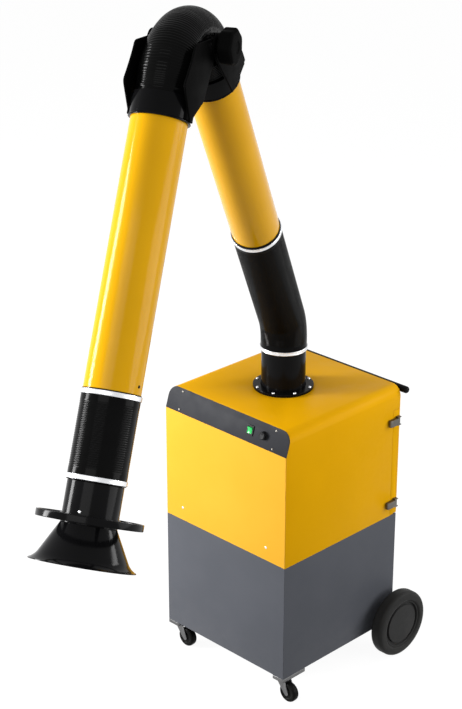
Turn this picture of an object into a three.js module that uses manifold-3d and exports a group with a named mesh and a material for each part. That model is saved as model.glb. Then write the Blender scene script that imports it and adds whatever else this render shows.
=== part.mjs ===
// A mobile fume extractor: a wheeled filter cabinet that carries a jointed extraction arm with a hood.
// Millimetres, Z up. The cabinet's front faces -Y and the wheels stand at zero height.

import * as THREE from 'three';
import { mergeVertices } from 'three/addons/utils/BufferGeometryUtils.js';
import Module from 'manifold-3d';

const wasm = await Module();
wasm.setup();

// Fits
const fit = 0.3; // gap between two pieces that touch
const reveal = 1.2; // open joint line round the rear door

// Facets
const tubeSides = 20;
const wheelSides = 24;
const pinSides = 10;
const boltSides = 6;
const curveSteps = 3;

// Cabinet
const cabinetWidth = 600;
const cabinetDepth = 600;
const cabinetTop = 1075;
const baseUnderside = 105;
const seamHeight = 560; // joint line between the grey base and the yellow upper cabinet
const baseSheet = 3;
const baseRim = 24; // inward rim that carries the deck
const upperSheet = 2.5;
const topEdgeRadius = 40;
const sideFoot = 20; // inward foot flange of the upper cabinet
const coverReturn = 22; // depth of the front cover's folded edge

// Control panel
const panelDrop = 84; // panel's lower edge below the cabinet's top
const panelSetback = 27; // how far its top edge leans back
const panelSheet = 3;
const switchX = 117;
const switchWidth = 32;
const switchHeight = 36;
const switchBezel = 5; // rim left round the rocker pocket
const switchBody = 24; // depth of the switch behind the panel
const switchProud = 3.5;
const rockerProud = 2.5;
const rockerTilt = 8; // degrees, pressed to its running side
const knobX = 183;
const knobDiameter = 31;
const knobHeight = 15;
const knobShaft = 8; // diameter
const knobShaftLength = 14;

// Rear door
const doorSill = 4; // door's lower edge above the seam
const doorDrop = 5; // door's upper edge below the control panel
const doorFlange = 34; // side flange that shows on the right
const doorReturn = 13; // depth of its top and bottom edges
const rabbet = 15; // from the door's back face to the frame that it closes on
const frameWidth = 36;
const flangeInset = 5; // step of the wall behind the door flange
const gasketInset = 16;
const gasketWidth = 15;
const hingeOffset = 4; // hinge axis outside the cabinet's corner
const hingeKnuckle = 5; // radius
const hingePin = 2.5; // radius
const hingeLeaf = 34;
const hingeSheet = 3;
const hingeLength = 60;
const hingeInset = 76; // hinge middle from the door's ends
const latchInset = { lower: 48, upper: 41 }; // latch middle from the door's ends
const latchHeight = 26;
const latchReach = 48; // from its pivot to the lever's tip
const latchAxisOut = 9; // pivot outside the side wall
const latchAxisIn = 16; // pivot ahead of the cabinet's back
const latchEar = 3;
const latchPin = 2.5; // radius
const leverBack = 3.5; // gap under the lever arm
const leverThickness = 12;
const clawWidth = 5;
const keeperWidth = 8;
const clawInset = 2; // claw and keeper shorter than the lever at each end

// Filter chamber
const deckSheet = 2.5;
const deckHole = 100; // radius
const seatWall = 3;
const seatHeight = 12;
const cartridgeRadius = 190;
const cartridgeBore = 115; // radius
const cartridgeHeight = 335;
const cartridgeCap = 20;
const pleats = 20;
const pleatDepth = 26;
const baffleRadius = 115;
const baffleDrop = 72; // below the cabinet's top sheet
const baffleSheet = 3;
const baffleHangers = 3;
const hangerWidth = 24;

// Fan
const fanSheet = 3;
const fanHeight = 150;
const scrollStart = 150; // radius at the tongue
const scrollEnd = 222; // radius at the outlet
const tongueAngle = 35; // degrees
const scrollSteps = 12;
const inletCollar = 6;
const impellerRadius = 138;
const impellerEye = 90; // radius
const impellerGap = 8; // running gap over the housing floor
const bladeCount = 6;
const bladeHeight = 92;
const bladeInner = 72; // radius where a blade starts
const bladeSweep = 38; // degrees that a blade trails
const bladeThickness = 4;
const hubRadius = 24;
const motorRadius = 82;
const motorLength = 165;
const motorFlange = 10;
const motorFlangeRadius = 112;
const motorFins = 8;
const finDepth = 7;
const shaftRadius = 9;
const grilleMargin = 26; // frame round the exhaust opening
const grilleSheet = 2.5;
const louvres = 5;
const louvreGap = 12;
const glandRadius = 12;
const glandX = -215;
const glandHeight = 190;
const glandLength = 24;

// Push handle
const handleDiameter = 26;
const handleOverhang = 18; // past each side wall
const handleBehind = 19; // bar axis behind the cabinet
const handleBelow = 10; // bar axis below the top
const handlePost = 30;
const handlePostInset = 62;

// Rear wheels
const wheelRadius = 130;
const wheelWidth = 56;
const wheelGap = 28; // from the side wall to the tyre
const wheelSetback = 32; // axle ahead of the cabinet's back
const rimRadius = 93;
const rimWall = 8;
const webSheet = 6;
const hubWall = 12;
const axleRadius = 10;
const shoulder = 13;

// Front castors
const castorInsetX = 34;
const castorInsetY = 38;
const castorPlateWidth = 52;
const castorPlateLength = 116;
const castorPlateHeight = 15;
const castorWheelRadius = 39;
const castorWheelWidth = 28;
const castorTrail = 30;
const castorHeadRadius = 21;
const castorHeadHeight = 7;
const castorForkSheet = 3;
const castorAxle = 5; // radius
const castorShoulder = 6;

// Arm pose in the photograph, in degrees
const armHeading = -64.8; // turn of the arm's plane from +X
const armLean = 34.46; // inner tube from upright
const elbowAngle = 63.49; // between the two tubes

// Arm tubes and hoses
const tubeRadius = 81;
const tubeWall = 2;
const spigotRadius = 71;
const spigotLength = 30;
const hoseSides = 8;
const hoseCrest = 83;
const hoseRoot = 80;
const ribPitch = 9.3;
const cuffLength = 36;
const clampWidth = 13;
const clampBand = 2.2;
const clampInset = 10; // clamp's middle from the hose end
const innerClampInset = 15;
const clampLug = 14;

// Arm foot
const flangeRadius = 110;
const flangeThickness = 10;
const flangeBolts = 8;
const boltCircle = 101; // radius
const boltHead = 6.5; // radius
const boltHeadHeight = 4.5;
const collarRadius = 80;
const collarRise = 146; // collar's top above the cabinet's
const lipRadius = 91;
const lipThickness = 4;
const tiltRise = 92.5; // tilt pivot above the collar
const baseHoseBend = 180; // centreline radius of the base hose
const strutWidth = 36;
const strutBar = 26;
const strutEnd = 620;
const spiderFrom = 565;
const spiderThickness = 18;
const cheekSheet = 6;
const bracketWidth = 42;
const bracketRise = 43; // bracket's crossbar above the cabinet's top
const bracketBar = 26;
const tiltBolt = 8; // radius
const tiltBoltHead = 13; // radius
const tiltBoltHeadHeight = 8;

// Inner tube and elbow
const innerTubeFrom = 558; // along the arm from the tilt pivot
const elbowAlong = 1527;
const elbowOffset = 88; // from a tube's axis to the elbow pivot
const tubeToElbow = 205; // a tube's shoulder from the elbow pivot
const elbowBend = 166; // radius of the elbow hose's middle line
const elbowCuff = 79.5;
const forkWall = 4.7;
const forkNear = 181;
const forkFar = 250;
const forkLip = 2.5;
const innerCheekAt = 86; // inner fork's cheek from the arm's plane
const cheekThickness = 6.5;
const strapEye = 36; // radius of the inner fork's cheek round the pivot
const strapHalf = 48;
const strapPad = { across: [-44, 44], depth: 34.5 }; // block that joins a strap to its collar
const shieldEye = 22; // radius of the outer fork's cheek round the pivot
const shieldReach = 177; // its widest point from the pivot
const shieldAlong = 149;
const shieldShoulder = 137; // its upper corner from the pivot
const shieldRise = 19;
const shieldHeel = 17; // behind the tube's axis
const shieldTurn = 10; // length of its rounded corners
const shieldPad = { across: [-26, 6], depth: 15 };
const discThickness = 3;
const studRadius = 8;
const studHead = 14; // radius
const studHeadHeight = 2.2;
const pinHeadHeight = 8;
const elbowKnobRadius = 54;
const elbowKnobHeight = 27;
const elbowKnobStandOff = 29;
const elbowHubRadius = 22;

// Outer tube and hood
const outerTubeTo = 1011; // along the arm from the elbow pivot
const hoodPivotAlong = 1138;
const hoodLinkFrom = 930;
const hoodPin = 6; // radius
const hoodPinHead = 10; // radius
const hoodEye = 28; // width of the link's eye
const neckRadius = 79;
const neckFrom = 126; // along the hood from its pivot
const coneFrom = 243;
const coneTo = 329;
const coneRadius = 125;
const rimAlong = 353;
const hoodRimRadius = 150;
const hoodWall = 2.5;
const yokeFrom = 142;
const grabAlong = 227;
const grabHeight = 20;
const grabBand = 6;
const grabSleeve = 4;
const grabSpokes = 4;
const spokeWidth = 16;

// Derived places
const wallX = cabinetWidth / 2;
const wallY = cabinetDepth / 2;
const panelFoot = cabinetTop - panelDrop;
const doorFoot = seamHeight + doorSill;
const doorHead = panelFoot - doorDrop;
const hingeHeights = { lower: doorFoot + hingeInset, upper: doorHead - hingeInset };
const latchHeights = { lower: doorFoot + latchInset.lower, upper: doorHead - latchInset.upper };
const collarTop = cabinetTop + collarRise;
const bracketFoot = cabinetTop + bracketRise;
const tiltHeight = collarTop + tiltRise;
const deckTop = seamHeight - fit;
const deckUnder = deckTop - deckSheet;
const rimTop = deckUnder - fit;
const rimUnder = rimTop - baseSheet;
const fanTop = rimUnder - fit;
const fanFloor = fanTop - fanHeight;
const scrollInner = scrollStart * Math.cos(THREE.MathUtils.degToRad(tongueAngle));
const exhaustX = [scrollInner, scrollEnd];
const exhaustZ = [fanFloor + fanSheet, fanTop - fanSheet];
const wheelApothem = wheelRadius * Math.cos(Math.PI / wheelSides);
const axleY = wallY - wheelSetback;
const hoseBore = (spigotRadius + fit) / Math.cos(Math.PI / hoseSides);
const panelLean = Math.atan2(panelSetback, cabinetTop - panelFoot);
const far = 2 * (cabinetWidth + cabinetDepth + cabinetTop);
const forkRadius = tubeRadius + fit + forkWall;
const outerCheekAt = innerCheekAt + cheekThickness + discThickness + 2 * fit;

// Finishes
const yellowPaint = { color: 0xe0a410, roughness: 0.3, metalness: 0.0 };
const greyPaint = { color: 0x55595f, roughness: 0.45, metalness: 0.0 };
const panelPaint = { color: 0x484a54, roughness: 0.5, metalness: 0.0 };
const blackPaint = { color: 0x121212, roughness: 0.25, metalness: 0.0 };
const blackRubber = { color: 0x1a1a1a, roughness: 0.6, metalness: 0.0 };
const blackHose = { color: 0x141414, roughness: 0.35, metalness: 0.0 };
const zinc = { color: 0xb9bcc0, roughness: 0.35, metalness: 0.9 };
const castMetal = { color: 0x77797c, roughness: 0.4, metalness: 0.7 };
const greenLens = { color: 0x22b455, roughness: 0.2, metalness: 0.0 };
const filterPaper = { color: 0xd9d4c4, roughness: 0.9, metalness: 0.0 };

// Closed solids, joined and cut

function solidOf(geometry) {
  const bare = new THREE.BufferGeometry();
  bare.setAttribute('position', geometry.attributes.position);
  bare.setIndex(geometry.index);
  const whole = mergeVertices(bare, 1e-3);
  const corner = whole.index.array;
  const triangles = [];
  for (let i = 0; i < corner.length; i += 3) {
    const [a, b, c] = corner.subarray(i, i + 3);
    if (a !== b && b !== c && c !== a) triangles.push(a, b, c);
  }
  const vertProperties = Float32Array.from(whole.attributes.position.array);
  const triVerts = Uint32Array.from(triangles);
  return new wasm.Manifold(new wasm.Mesh({ numProp: 3, vertProperties, triVerts }));
}

function geometryOf(solid) {
  const { vertProperties, triVerts } = solid.getMesh();
  const geometry = new THREE.BufferGeometry();
  geometry.setAttribute('position', new THREE.BufferAttribute(Float32Array.from(vertProperties), 3));
  geometry.setIndex(new THREE.BufferAttribute(Uint32Array.from(triVerts), 1));
  return geometry;
}

function join(...parts) {
  return geometryOf(parts.map(solidOf).reduce((whole, next) => whole.add(next)));
}

function cut(body, ...tools) {
  return geometryOf(tools.map(solidOf).reduce((whole, tool) => whole.subtract(tool), solidOf(body)));
}

function shared(first, second) {
  return geometryOf(solidOf(first).intersect(solidOf(second)));
}

function piece(group, name, geometry, finish) {
  const closed = geometryOf(solidOf(geometry));
  closed.computeVertexNormals();
  const mesh = new THREE.Mesh(closed, new THREE.MeshStandardMaterial(finish));
  mesh.name = name;
  group.add(mesh);
  return mesh;
}

// Basic forms

function slab([x0, x1], [y0, y1], [z0, z1]) {
  const box = new THREE.BoxGeometry(x1 - x0, y1 - y0, z1 - z0);
  return box.translate((x0 + x1) / 2, (y0 + y1) / 2, (z0 + z1) / 2);
}

function both(half) {
  return [-half, half];
}

// Revolves a closed outline of [radius, height] points about Z.
function turned(outline, sides) {
  const points = outline.map(([radius, height]) => new THREE.Vector2(radius, height));
  if (THREE.ShapeUtils.area(points) < 0) points.reverse();
  return new THREE.LatheGeometry([...points, points[0]], sides).rotateX(Math.PI / 2);
}

function rod(radius, [z0, z1], sides) {
  return turned([[0, z0], [radius, z0], [radius, z1], [0, z1]], sides);
}

// A hole whose flats clear a round piece of the given radius at any turn.
function bore(radius, ends, sides) {
  return rod((radius + fit) / Math.cos(Math.PI / sides), ends, sides);
}

function ring(inner, outer, [z0, z1], sides) {
  return turned([[inner, z0], [outer, z0], [outer, z1], [inner, z1]], sides);
}

function alongX(geometry) {
  return geometry.rotateY(Math.PI / 2);
}

function alongY(geometry) {
  return geometry.rotateX(-Math.PI / 2);
}

// An outline in x and z with its thickness along y.
function plate(shape, [y0, y1], curveSegments = curveSteps) {
  const options = { depth: y1 - y0, bevelEnabled: false, curveSegments };
  return new THREE.ExtrudeGeometry(shape, options).rotateX(Math.PI / 2).translate(0, y1, 0);
}

// An outline in x and y with its thickness along z.
function slice(shape, [z0, z1], curveSegments = curveSteps) {
  const options = { depth: z1 - z0, bevelEnabled: false, curveSegments };
  return new THREE.ExtrudeGeometry(shape, options).translate(0, 0, z0);
}

function frame(outerX, outerZ, width, y) {
  const openX = [outerX[0] + width, outerX[1] - width];
  const openZ = [outerZ[0] + width, outerZ[1] - width];
  const opening = slab(openX, both(far), openZ);
  return cut(slab(outerX, y, outerZ), opening);
}

function turns(count, make) {
  return Array.from({ length: count }, (_, i) => make((2 * Math.PI * i) / count));
}

// Cabinet shells

function shellOutline(inset, foot) {
  const half = wallX - inset;
  const top = cabinetTop - inset;
  const radius = Math.max(topEdgeRadius - inset, 1);
  const shape = new THREE.Shape();
  shape.moveTo(-half, foot);
  shape.lineTo(half, foot);
  shape.absarc(half - radius, top - radius, radius, 0, Math.PI / 2);
  shape.absarc(-half + radius, top - radius, radius, Math.PI / 2, Math.PI);
  shape.closePath();
  return shape;
}

// The space between two depths behind the control panel's sloping face.
function behindPanel(depths) {
  return slab(both(far), depths, both(far)).rotateX(-panelLean).translate(0, -wallY, panelFoot);
}

function addBase(cabinet) {
  const inX = both(wallX - baseSheet);
  const inY = both(wallY - baseSheet);
  const rimX = both(wallX - baseSheet - baseRim);
  const rimY = both(wallY - baseSheet - baseRim);
  const axleHole = alongX(bore(axleRadius, both(far), pinSides)).translate(0, axleY, wheelApothem);
  const glandHole = alongY(bore(glandRadius * 0.6, [0, far], pinSides)).translate(glandX, 0, glandHeight);
  piece(
    cabinet,
    'base_cabinet',
    cut(
      slab(both(wallX), both(wallY), [baseUnderside, deckTop]),
      slab(inX, inY, [baseUnderside + baseSheet, rimUnder]),
      slab(rimX, rimY, [rimUnder - fit, far]),
      slab(inX, inY, [rimTop, far]),
      slab(exhaustX, [0, far], exhaustZ),
      axleHole,
      glandHole
    ),
    greyPaint
  );
  const deck = slab(both(wallX - baseSheet - fit), both(wallY - baseSheet - fit), [deckUnder, deckTop]);
  const seat = rod(deckHole + seatWall, [deckUnder, deckTop + seatHeight], tubeSides);
  piece(cabinet, 'deck_plate', cut(join(deck, seat), rod(deckHole, [0, far], tubeSides)), zinc);
}

function addUpperCabinet(cabinet) {
  const front = -wallY + upperSheet + fit;
  const frameFace = wallY - rabbet;
  const wallEnd = wallY - doorFlange - reveal;
  const doorTop = doorHead + reveal;
  const stepX = wallX - flangeInset;
  const outside = plate(shellOutline(0, seamHeight), [front, wallY]);
  const inside = plate(shellOutline(upperSheet, 0), [-far, wallY - upperSheet]);
  const doorway = slab(both(far), [wallY - upperSheet - fit, far], [0, doorTop]);
  const flangeSpace = slab([wallX - upperSheet, far], [wallEnd, far], [0, doorTop]);
  const shell = cut(outside, inside, doorway, flangeSpace, behindPanel([-far, panelSheet + fit]));
  const frameZ = [seamHeight, doorTop + upperSheet];
  const frameSpan = [-wallX + upperSheet / 2, stepX];
  const doorFrame = frame(frameSpan, frameZ, frameWidth, [frameFace - upperSheet, frameFace]);
  const shelfY = [frameFace - upperSheet, wallY];
  const shelf = slab(both(wallX - upperSheet / 2), shelfY, [doorTop, doorTop + upperSheet]);
  const step = slab([stepX - upperSheet, wallX], [wallEnd - upperSheet, wallEnd], frameZ);
  const back = slab([stepX - upperSheet, stepX], [wallEnd - upperSheet, frameFace], frameZ);
  const footY = [-wallY + coverReturn + upperSheet, frameFace - upperSheet / 2];
  const footZ = [seamHeight, seamHeight + upperSheet];
  const feet = [-1, 1].map((side) => {
    const ends = [side * (wallX - upperSheet / 2), side * (wallX - upperSheet - sideFoot)];
    return slab(ends.sort((a, b) => a - b), footY, footZ);
  });
  const duct = rod(collarRadius - tubeWall, [doorHead, far], tubeSides);
  const whole = join(shell, doorFrame, shelf, step, back, ...feet);
  piece(cabinet, 'upper_cabinet', cut(whole, duct), yellowPaint);

  const sheet = slab(both(wallX), [-wallY, -wallY + upperSheet], [seamHeight, panelFoot]);
  const edgeX = both(wallX - upperSheet - fit);
  const edgeY = [-wallY + upperSheet / 2, -wallY + coverReturn];
  const edge = frame(edgeX, [seamHeight, panelFoot], upperSheet, edgeY);
  piece(cabinet, 'front_cover', join(sheet, edge), yellowPaint);
}

function addControlPanel(cabinet) {
  const full = plate(shellOutline(0, panelFoot + fit), [-wallY, 0]);
  const face = new THREE.Group();
  const middle = Math.hypot(panelSetback, cabinetTop - panelFoot) / 2;
  face.position.set(0, -wallY, panelFoot);
  face.rotation.x = -panelLean;
  cabinet.add(face);
  const pocketX = both(switchWidth / 2 - switchBezel);
  const pocketZ = both(switchHeight / 2 - switchBezel);
  const wall = 2;
  const bodyX = both(switchWidth / 2 - switchBezel + wall);
  const bodyZ = both(switchHeight / 2 - switchBezel + wall);
  const place = (geometry, x) => geometry.translate(x, 0, middle);
  const switchHole = slab([bodyX[0] - fit, bodyX[1] + fit], both(far), [bodyZ[0] - fit, bodyZ[1] + fit]);
  const shaftHole = alongY(bore(knobShaft / 2, both(far), pinSides));
  const holes = [place(switchHole, switchX), place(shaftHole, knobX)].map((hole) =>
    hole.rotateX(-panelLean).translate(0, -wallY, panelFoot)
  );
  piece(cabinet, 'control_panel', cut(shared(full, behindPanel([0, panelSheet])), ...holes), panelPaint);

  const bezel = slab(both(switchWidth / 2), [-switchProud, -fit], both(switchHeight / 2));
  const body = slab(bodyX, [-switchProud / 2, switchBody], bodyZ);
  const pocket = slab(pocketX, [-far, switchBody - wall], pocketZ);
  piece(face, 'switch_frame', place(cut(join(bezel, body), pocket), switchX), blackPaint);

  const rocker = new THREE.Group();
  rocker.name = 'power_rocker';
  rocker.position.set(switchX, switchBody / 4, middle);
  rocker.rotation.x = THREE.MathUtils.degToRad(rockerTilt);
  face.add(rocker);
  const reach = pocketZ[1] - 2 * fit;
  const proud = switchProud + rockerProud + switchBody / 4;
  const keel = new THREE.Shape();
  keel.moveTo(0, -proud + rockerProud);
  keel.lineTo(reach * 0.86, -proud);
  keel.absarc(0, 0, reach, -Math.PI / 8, -Math.PI + Math.PI / 8, false);
  keel.lineTo(-reach * 0.86, -proud);
  keel.closePath();
  const length = pocketX[1] - fit;
  piece(rocker, 'power_rocker', rockerBody(keel, length), greenLens);

  const knob = new THREE.Group();
  knob.name = 'speed_knob';
  knob.position.set(knobX, 0, middle);
  face.add(knob);
  const radius = knobDiameter / 2;
  const grip = turned(
    [
      [0, knobShaftLength * -1],
      [knobShaft / 2, knobShaftLength * -1],
      [knobShaft / 2, fit],
      [radius, fit],
      [radius * 0.9, knobHeight * 0.9],
      [radius * 0.8, knobHeight],
      [0, knobHeight]
    ],
    tubeSides / 2
  );
  const pointerZ = [knobHeight * 0.8, knobHeight * 1.06];
  const pointer = slab(both(radius * 0.09), [radius * 0.25, radius * 0.86], pointerZ);
  piece(knob, 'speed_knob', join(grip, pointer).rotateX(Math.PI / 2), blackPaint);
}

// The rocker's side outline, given as length against depth, made as wide as its pocket.
function rockerBody(keel, half) {
  const options = { depth: 2 * half, bevelEnabled: false, curveSegments: curveSteps };
  return new THREE.ExtrudeGeometry(keel, options).translate(0, 0, -half).rotateY(-Math.PI / 2);
}

// Rear door

function addRearDoor(cabinet) {
  const axisX = -wallX - hingeOffset;
  const axisY = wallY + hingeOffset;
  const door = new THREE.Group();
  door.name = 'rear_door';
  door.position.set(axisX, axisY, 0);
  cabinet.add(door);
  const inDoor = (geometry) => geometry.translate(-axisX, -axisY, 0);
  const doorZ = [doorFoot, doorHead];
  const sheet = slab([-wallX + fit, wallX], [wallY - upperSheet, wallY], doorZ);
  const flange = slab([wallX - upperSheet, wallX], [wallY - doorFlange, wallY], doorZ);
  const returns = [doorFoot, doorHead - upperSheet].map((z) =>
    slab([-wallX + hingeLeaf, wallX - upperSheet / 2], [wallY - doorReturn, wallY], [z, z + upperSheet])
  );
  const middleKnuckle = hingeLength / 6;
  const leaves = Object.values(hingeHeights).map((z) => {
    const leaf = slab(
      [-wallX + hingeKnuckle, -wallX + hingeLeaf],
      [wallY - upperSheet / 2, wallY + hingeSheet],
      [z - hingeLength / 2, z + hingeLength / 2]
    );
    const middle = [z - middleKnuckle + fit, z + middleKnuckle - fit];
    const tab = slab([axisX, -wallX + hingeLeaf / 2], [wallY + fit, wallY + hingeSheet], middle);
    const knuckle = rod(hingeKnuckle, middle, pinSides).translate(axisX, axisY, 0);
    return join(leaf, tab, knuckle);
  });
  const pinBore = bore(hingePin, [doorFoot, doorHead], pinSides).translate(axisX, axisY, 0);
  const latchX = wallX + latchAxisOut;
  const latchY = wallY - latchAxisIn;
  const earHalf = latchHeight / 2 + fit;
  const ears = Object.values(latchHeights).flatMap((z) =>
    [-1, 1].map((side) => {
      const ends = [z + side * earHalf, z + side * (earHalf + latchEar)].sort((a, b) => a - b);
      const earX = [wallX - upperSheet / 2, latchX + latchAxisIn / 3];
      return slab(earX, both(latchAxisIn / 2).map((y) => latchY + y), ends);
    })
  );
  const earBores = Object.values(latchHeights).map((z) =>
    bore(latchPin, both(latchHeight).map((end) => z + end), pinSides).translate(latchX, latchY, 0)
  );
  const panel = cut(join(sheet, flange, ...returns, ...leaves, ...ears), pinBore, ...earBores);
  piece(door, 'rear_door', inDoor(panel), yellowPaint);

  const gasketX = both(wallX - gasketInset);
  const gasketZ = [doorFoot + gasketInset, doorHead - gasketInset];
  const gasketY = [wallY - rabbet + fit, wallY - upperSheet - fit];
  piece(door, 'door_gasket', inDoor(frame(gasketX, gasketZ, gasketWidth, gasketY)), blackRubber);

  for (const [level, z] of Object.entries(hingeHeights)) {
    const leafX = [-wallX - fit - hingeSheet, -wallX - fit];
    const span = [z - hingeLength / 2, z + hingeLength / 2];
    const leaf = slab(leafX, [wallY - hingeLeaf, wallY - hingeOffset], span);
    const knuckles = [
      [span[0], z - middleKnuckle],
      [z + middleKnuckle, span[1]]
    ].map((ends) =>
      join(
        slab(leafX, [wallY - hingeLeaf / 2, axisY], ends),
        rod(hingeKnuckle, ends, pinSides).translate(axisX, axisY, 0)
      )
    );
    const pin = rod(hingePin, span, pinSides).translate(axisX, axisY, 0);
    piece(cabinet, `hinge_${level}`, join(leaf, ...knuckles, pin), castMetal);
  }

  for (const [level, z] of Object.entries(latchHeights)) {
    const latch = new THREE.Group();
    latch.name = `latch_${level}`;
    latch.position.set(latchX - axisX, latchY - axisY, z);
    door.add(latch);
    piece(latch, `latch_lever_${level}`, latchLever(), castMetal);
    const clawBack = latchY - latchReach + keeperWidth + clawWidth;
    const keeper = slab(
      [wallX + fit, wallX + leverBack - fit],
      [clawBack + fit, clawBack + fit + keeperWidth],
      both(latchHeight / 2 - clawInset)
    );
    const base = slab(
      [wallX + fit, wallX + leverBack / 2],
      [clawBack + fit, wallY - doorFlange - reveal - fit],
      both(latchHeight / 2 - clawInset)
    );
    piece(cabinet, `latch_keeper_${level}`, join(keeper, base).translate(0, 0, z), castMetal);
  }
}

// Lever with its pivot barrel, claw and pin, drawn about its own pivot and closed against the side wall.
function latchLever() {
  const inner = leverBack - latchAxisOut;
  const outer = inner + leverThickness;
  const half = latchHeight / 2;
  const tip = new THREE.Shape();
  tip.moveTo(inner, 0);
  tip.lineTo(inner, -latchReach);
  tip.lineTo(outer - leverThickness / 2, -latchReach);
  tip.quadraticCurveTo(outer, -latchReach, outer, -latchReach + leverThickness);
  tip.lineTo(outer, 0);
  tip.closePath();
  const barrel = rod(Math.min(-inner, outer), both(half), pinSides);
  const clawFrom = -latchReach + keeperWidth;
  const clawX = [fit * 2 - latchAxisOut, inner + fit];
  const claw = slab(clawX, [clawFrom, clawFrom + clawWidth], both(half - clawInset));
  const pin = rod(latchPin, both(half + latchEar + fit), pinSides);
  return join(slice(tip, both(half)), barrel, claw, pin);
}

// Filter chamber

function addFilter(cabinet) {
  const foot = deckTop + fit;
  const top = foot + cartridgeHeight;
  const pleated = new THREE.Shape(
    Array.from({ length: 2 * pleats }, (_, i) => {
      const radius = cartridgeRadius - seatWall - (i % 2) * pleatDepth;
      const angle = (Math.PI * i) / pleats;
      return new THREE.Vector2(radius * Math.cos(angle), radius * Math.sin(angle));
    })
  );
  const media = slice(pleated, [foot + cartridgeCap / 2, top - cartridgeCap / 2]);
  const caps = [foot, top - cartridgeCap].map((z) => rod(cartridgeRadius, [z, z + cartridgeCap], tubeSides));
  const core = rod(cartridgeBore, [0, top - cartridgeCap], tubeSides);
  const mouth = rod(deckHole + seatWall + fit, [0, foot + cartridgeCap], tubeSides);
  const liner = ring(deckHole + seatWall + fit, cartridgeRadius, [foot, foot + cartridgeCap], tubeSides);
  piece(cabinet, 'filter_cartridge', join(cut(join(media, ...caps), core, mouth), liner), filterPaper);

  const ceiling = cabinetTop - upperSheet - fit;
  const dish = ceiling - baffleDrop;
  const disc = rod(baffleRadius, [dish, dish + baffleSheet], tubeSides);
  const hangers = turns(baffleHangers, (angle) => {
    const leg = slab([baffleRadius - baffleSheet, baffleRadius], both(hangerWidth / 2), [dish, ceiling]);
    const pad = slab([baffleRadius - baffleSheet, baffleRadius + hangerWidth], both(hangerWidth / 2), [
      ceiling - baffleSheet,
      ceiling
    ]);
    return join(leg, pad).rotateZ(angle + Math.PI / 6);
  });
  piece(cabinet, 'spark_baffle', join(disc, ...hangers), zinc);
}

// Fan

// The scroll's round chamber and its straight outlet, each grown by the same offset.
function scrollBody(offset, outletEnd, ends) {
  const start = THREE.MathUtils.degToRad(tongueAngle);
  const spiral = Array.from({ length: scrollSteps + 1 }, (_, i) => {
    const angle = start + (i / scrollSteps) * (2 * Math.PI - start);
    const radius = scrollStart + (i / scrollSteps) * (scrollEnd - scrollStart) + offset;
    return new THREE.Vector2(radius * Math.cos(angle), radius * Math.sin(angle));
  });
  const outlet = slab([scrollInner - offset, scrollEnd + offset], [0, outletEnd], ends);
  return join(slice(new THREE.Shape(spiral), ends), outlet);
}

function addFan(cabinet) {
  const outletEnd = wallY - baseSheet - fit;
  const outside = scrollBody(fanSheet, outletEnd, [fanFloor, fanTop]);
  const inside = scrollBody(0, far, [fanFloor + fanSheet, fanTop - fanSheet]);
  const collar = rod(impellerEye + inletCollar, [fanTop - fanSheet / 2, deckUnder - fit], tubeSides);
  const inlet = rod(impellerEye, [fanTop - fanSheet - fit, far], tubeSides);
  const shaftHole = rod(shaftRadius * 2, [0, fanFloor + fanSheet + fit], pinSides);
  piece(cabinet, 'fan_housing', cut(join(cut(outside, inside), collar), inlet, shaftHole), zinc);

  const wheel = new THREE.Group();
  wheel.name = 'impeller';
  wheel.position.z = fanFloor + fanSheet + impellerGap;
  cabinet.add(wheel);
  const backplate = rod(impellerRadius, [0, fanSheet], tubeSides);
  const hub = rod(hubRadius, [0, bladeHeight / 2], pinSides);
  const shroud = ring(impellerEye, impellerRadius, [bladeHeight, bladeHeight + fanSheet], tubeSides);
  const bladeZ = [fanSheet / 2, bladeHeight + fanSheet / 2];
  const blades = turns(bladeCount, (angle) => slice(bladeOutline(), bladeZ).rotateZ(angle));
  const shaftBore = bore(shaftRadius, both(far), pinSides);
  piece(wheel, 'fan_impeller', cut(join(backplate, hub, shroud, ...blades), shaftBore), castMetal);

  const under = fanFloor - fit;
  const body = new THREE.Shape(
    Array.from({ length: 4 * motorFins }, (_, i) => {
      const radius = motorRadius - (i % 4 < 2 ? 0 : finDepth);
      const angle = (2 * Math.PI * i) / (4 * motorFins);
      return new THREE.Vector2(radius * Math.cos(angle), radius * Math.sin(angle));
    })
  );
  const finned = slice(body, [under - motorLength, under - motorFlange / 2]);
  const flange = rod(motorFlangeRadius, [under - motorFlange, under], tubeSides);
  const cowl = rod(motorRadius, [under - motorLength - motorFlange, under - motorLength], tubeSides);
  const shaft = rod(shaftRadius, [under - motorFlange, wheel.position.z + bladeHeight / 2], pinSides);
  piece(cabinet, 'fan_motor', join(finned, flange, cowl, shaft), castMetal);

  addGrille(cabinet);
  const stem = glandRadius * 0.6;
  const gland = turned(
    [
      [0, -baseSheet - glandRadius / 2],
      [stem, -baseSheet - glandRadius / 2],
      [stem, fit],
      [glandRadius, fit],
      [glandRadius, glandLength / 2],
      [glandRadius * 0.8, glandLength * 0.85],
      [stem, glandLength],
      [0, glandLength]
    ],
    pinSides
  );
  piece(cabinet, 'cable_gland', alongY(gland).translate(glandX, wallY, glandHeight), blackPaint);
}

// A curved blade that trails from the eye to the rim.
function bladeOutline() {
  const sweep = THREE.MathUtils.degToRad(bladeSweep);
  const tipRadius = impellerRadius - bladeThickness;
  const edge = (radius, angle) => [radius * Math.cos(angle), radius * Math.sin(angle)];
  const lag = bladeThickness / bladeInner;
  const bend = (bladeInner + tipRadius) / 2;
  const shape = new THREE.Shape();
  shape.moveTo(...edge(bladeInner, 0));
  shape.quadraticCurveTo(...edge(bend, -sweep * 0.25), ...edge(tipRadius, -sweep));
  shape.lineTo(...edge(tipRadius, -sweep + bladeThickness / tipRadius));
  shape.quadraticCurveTo(...edge(bend + bladeThickness, -sweep * 0.25 + lag), ...edge(bladeInner, lag));
  shape.closePath();
  return shape;
}

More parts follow.
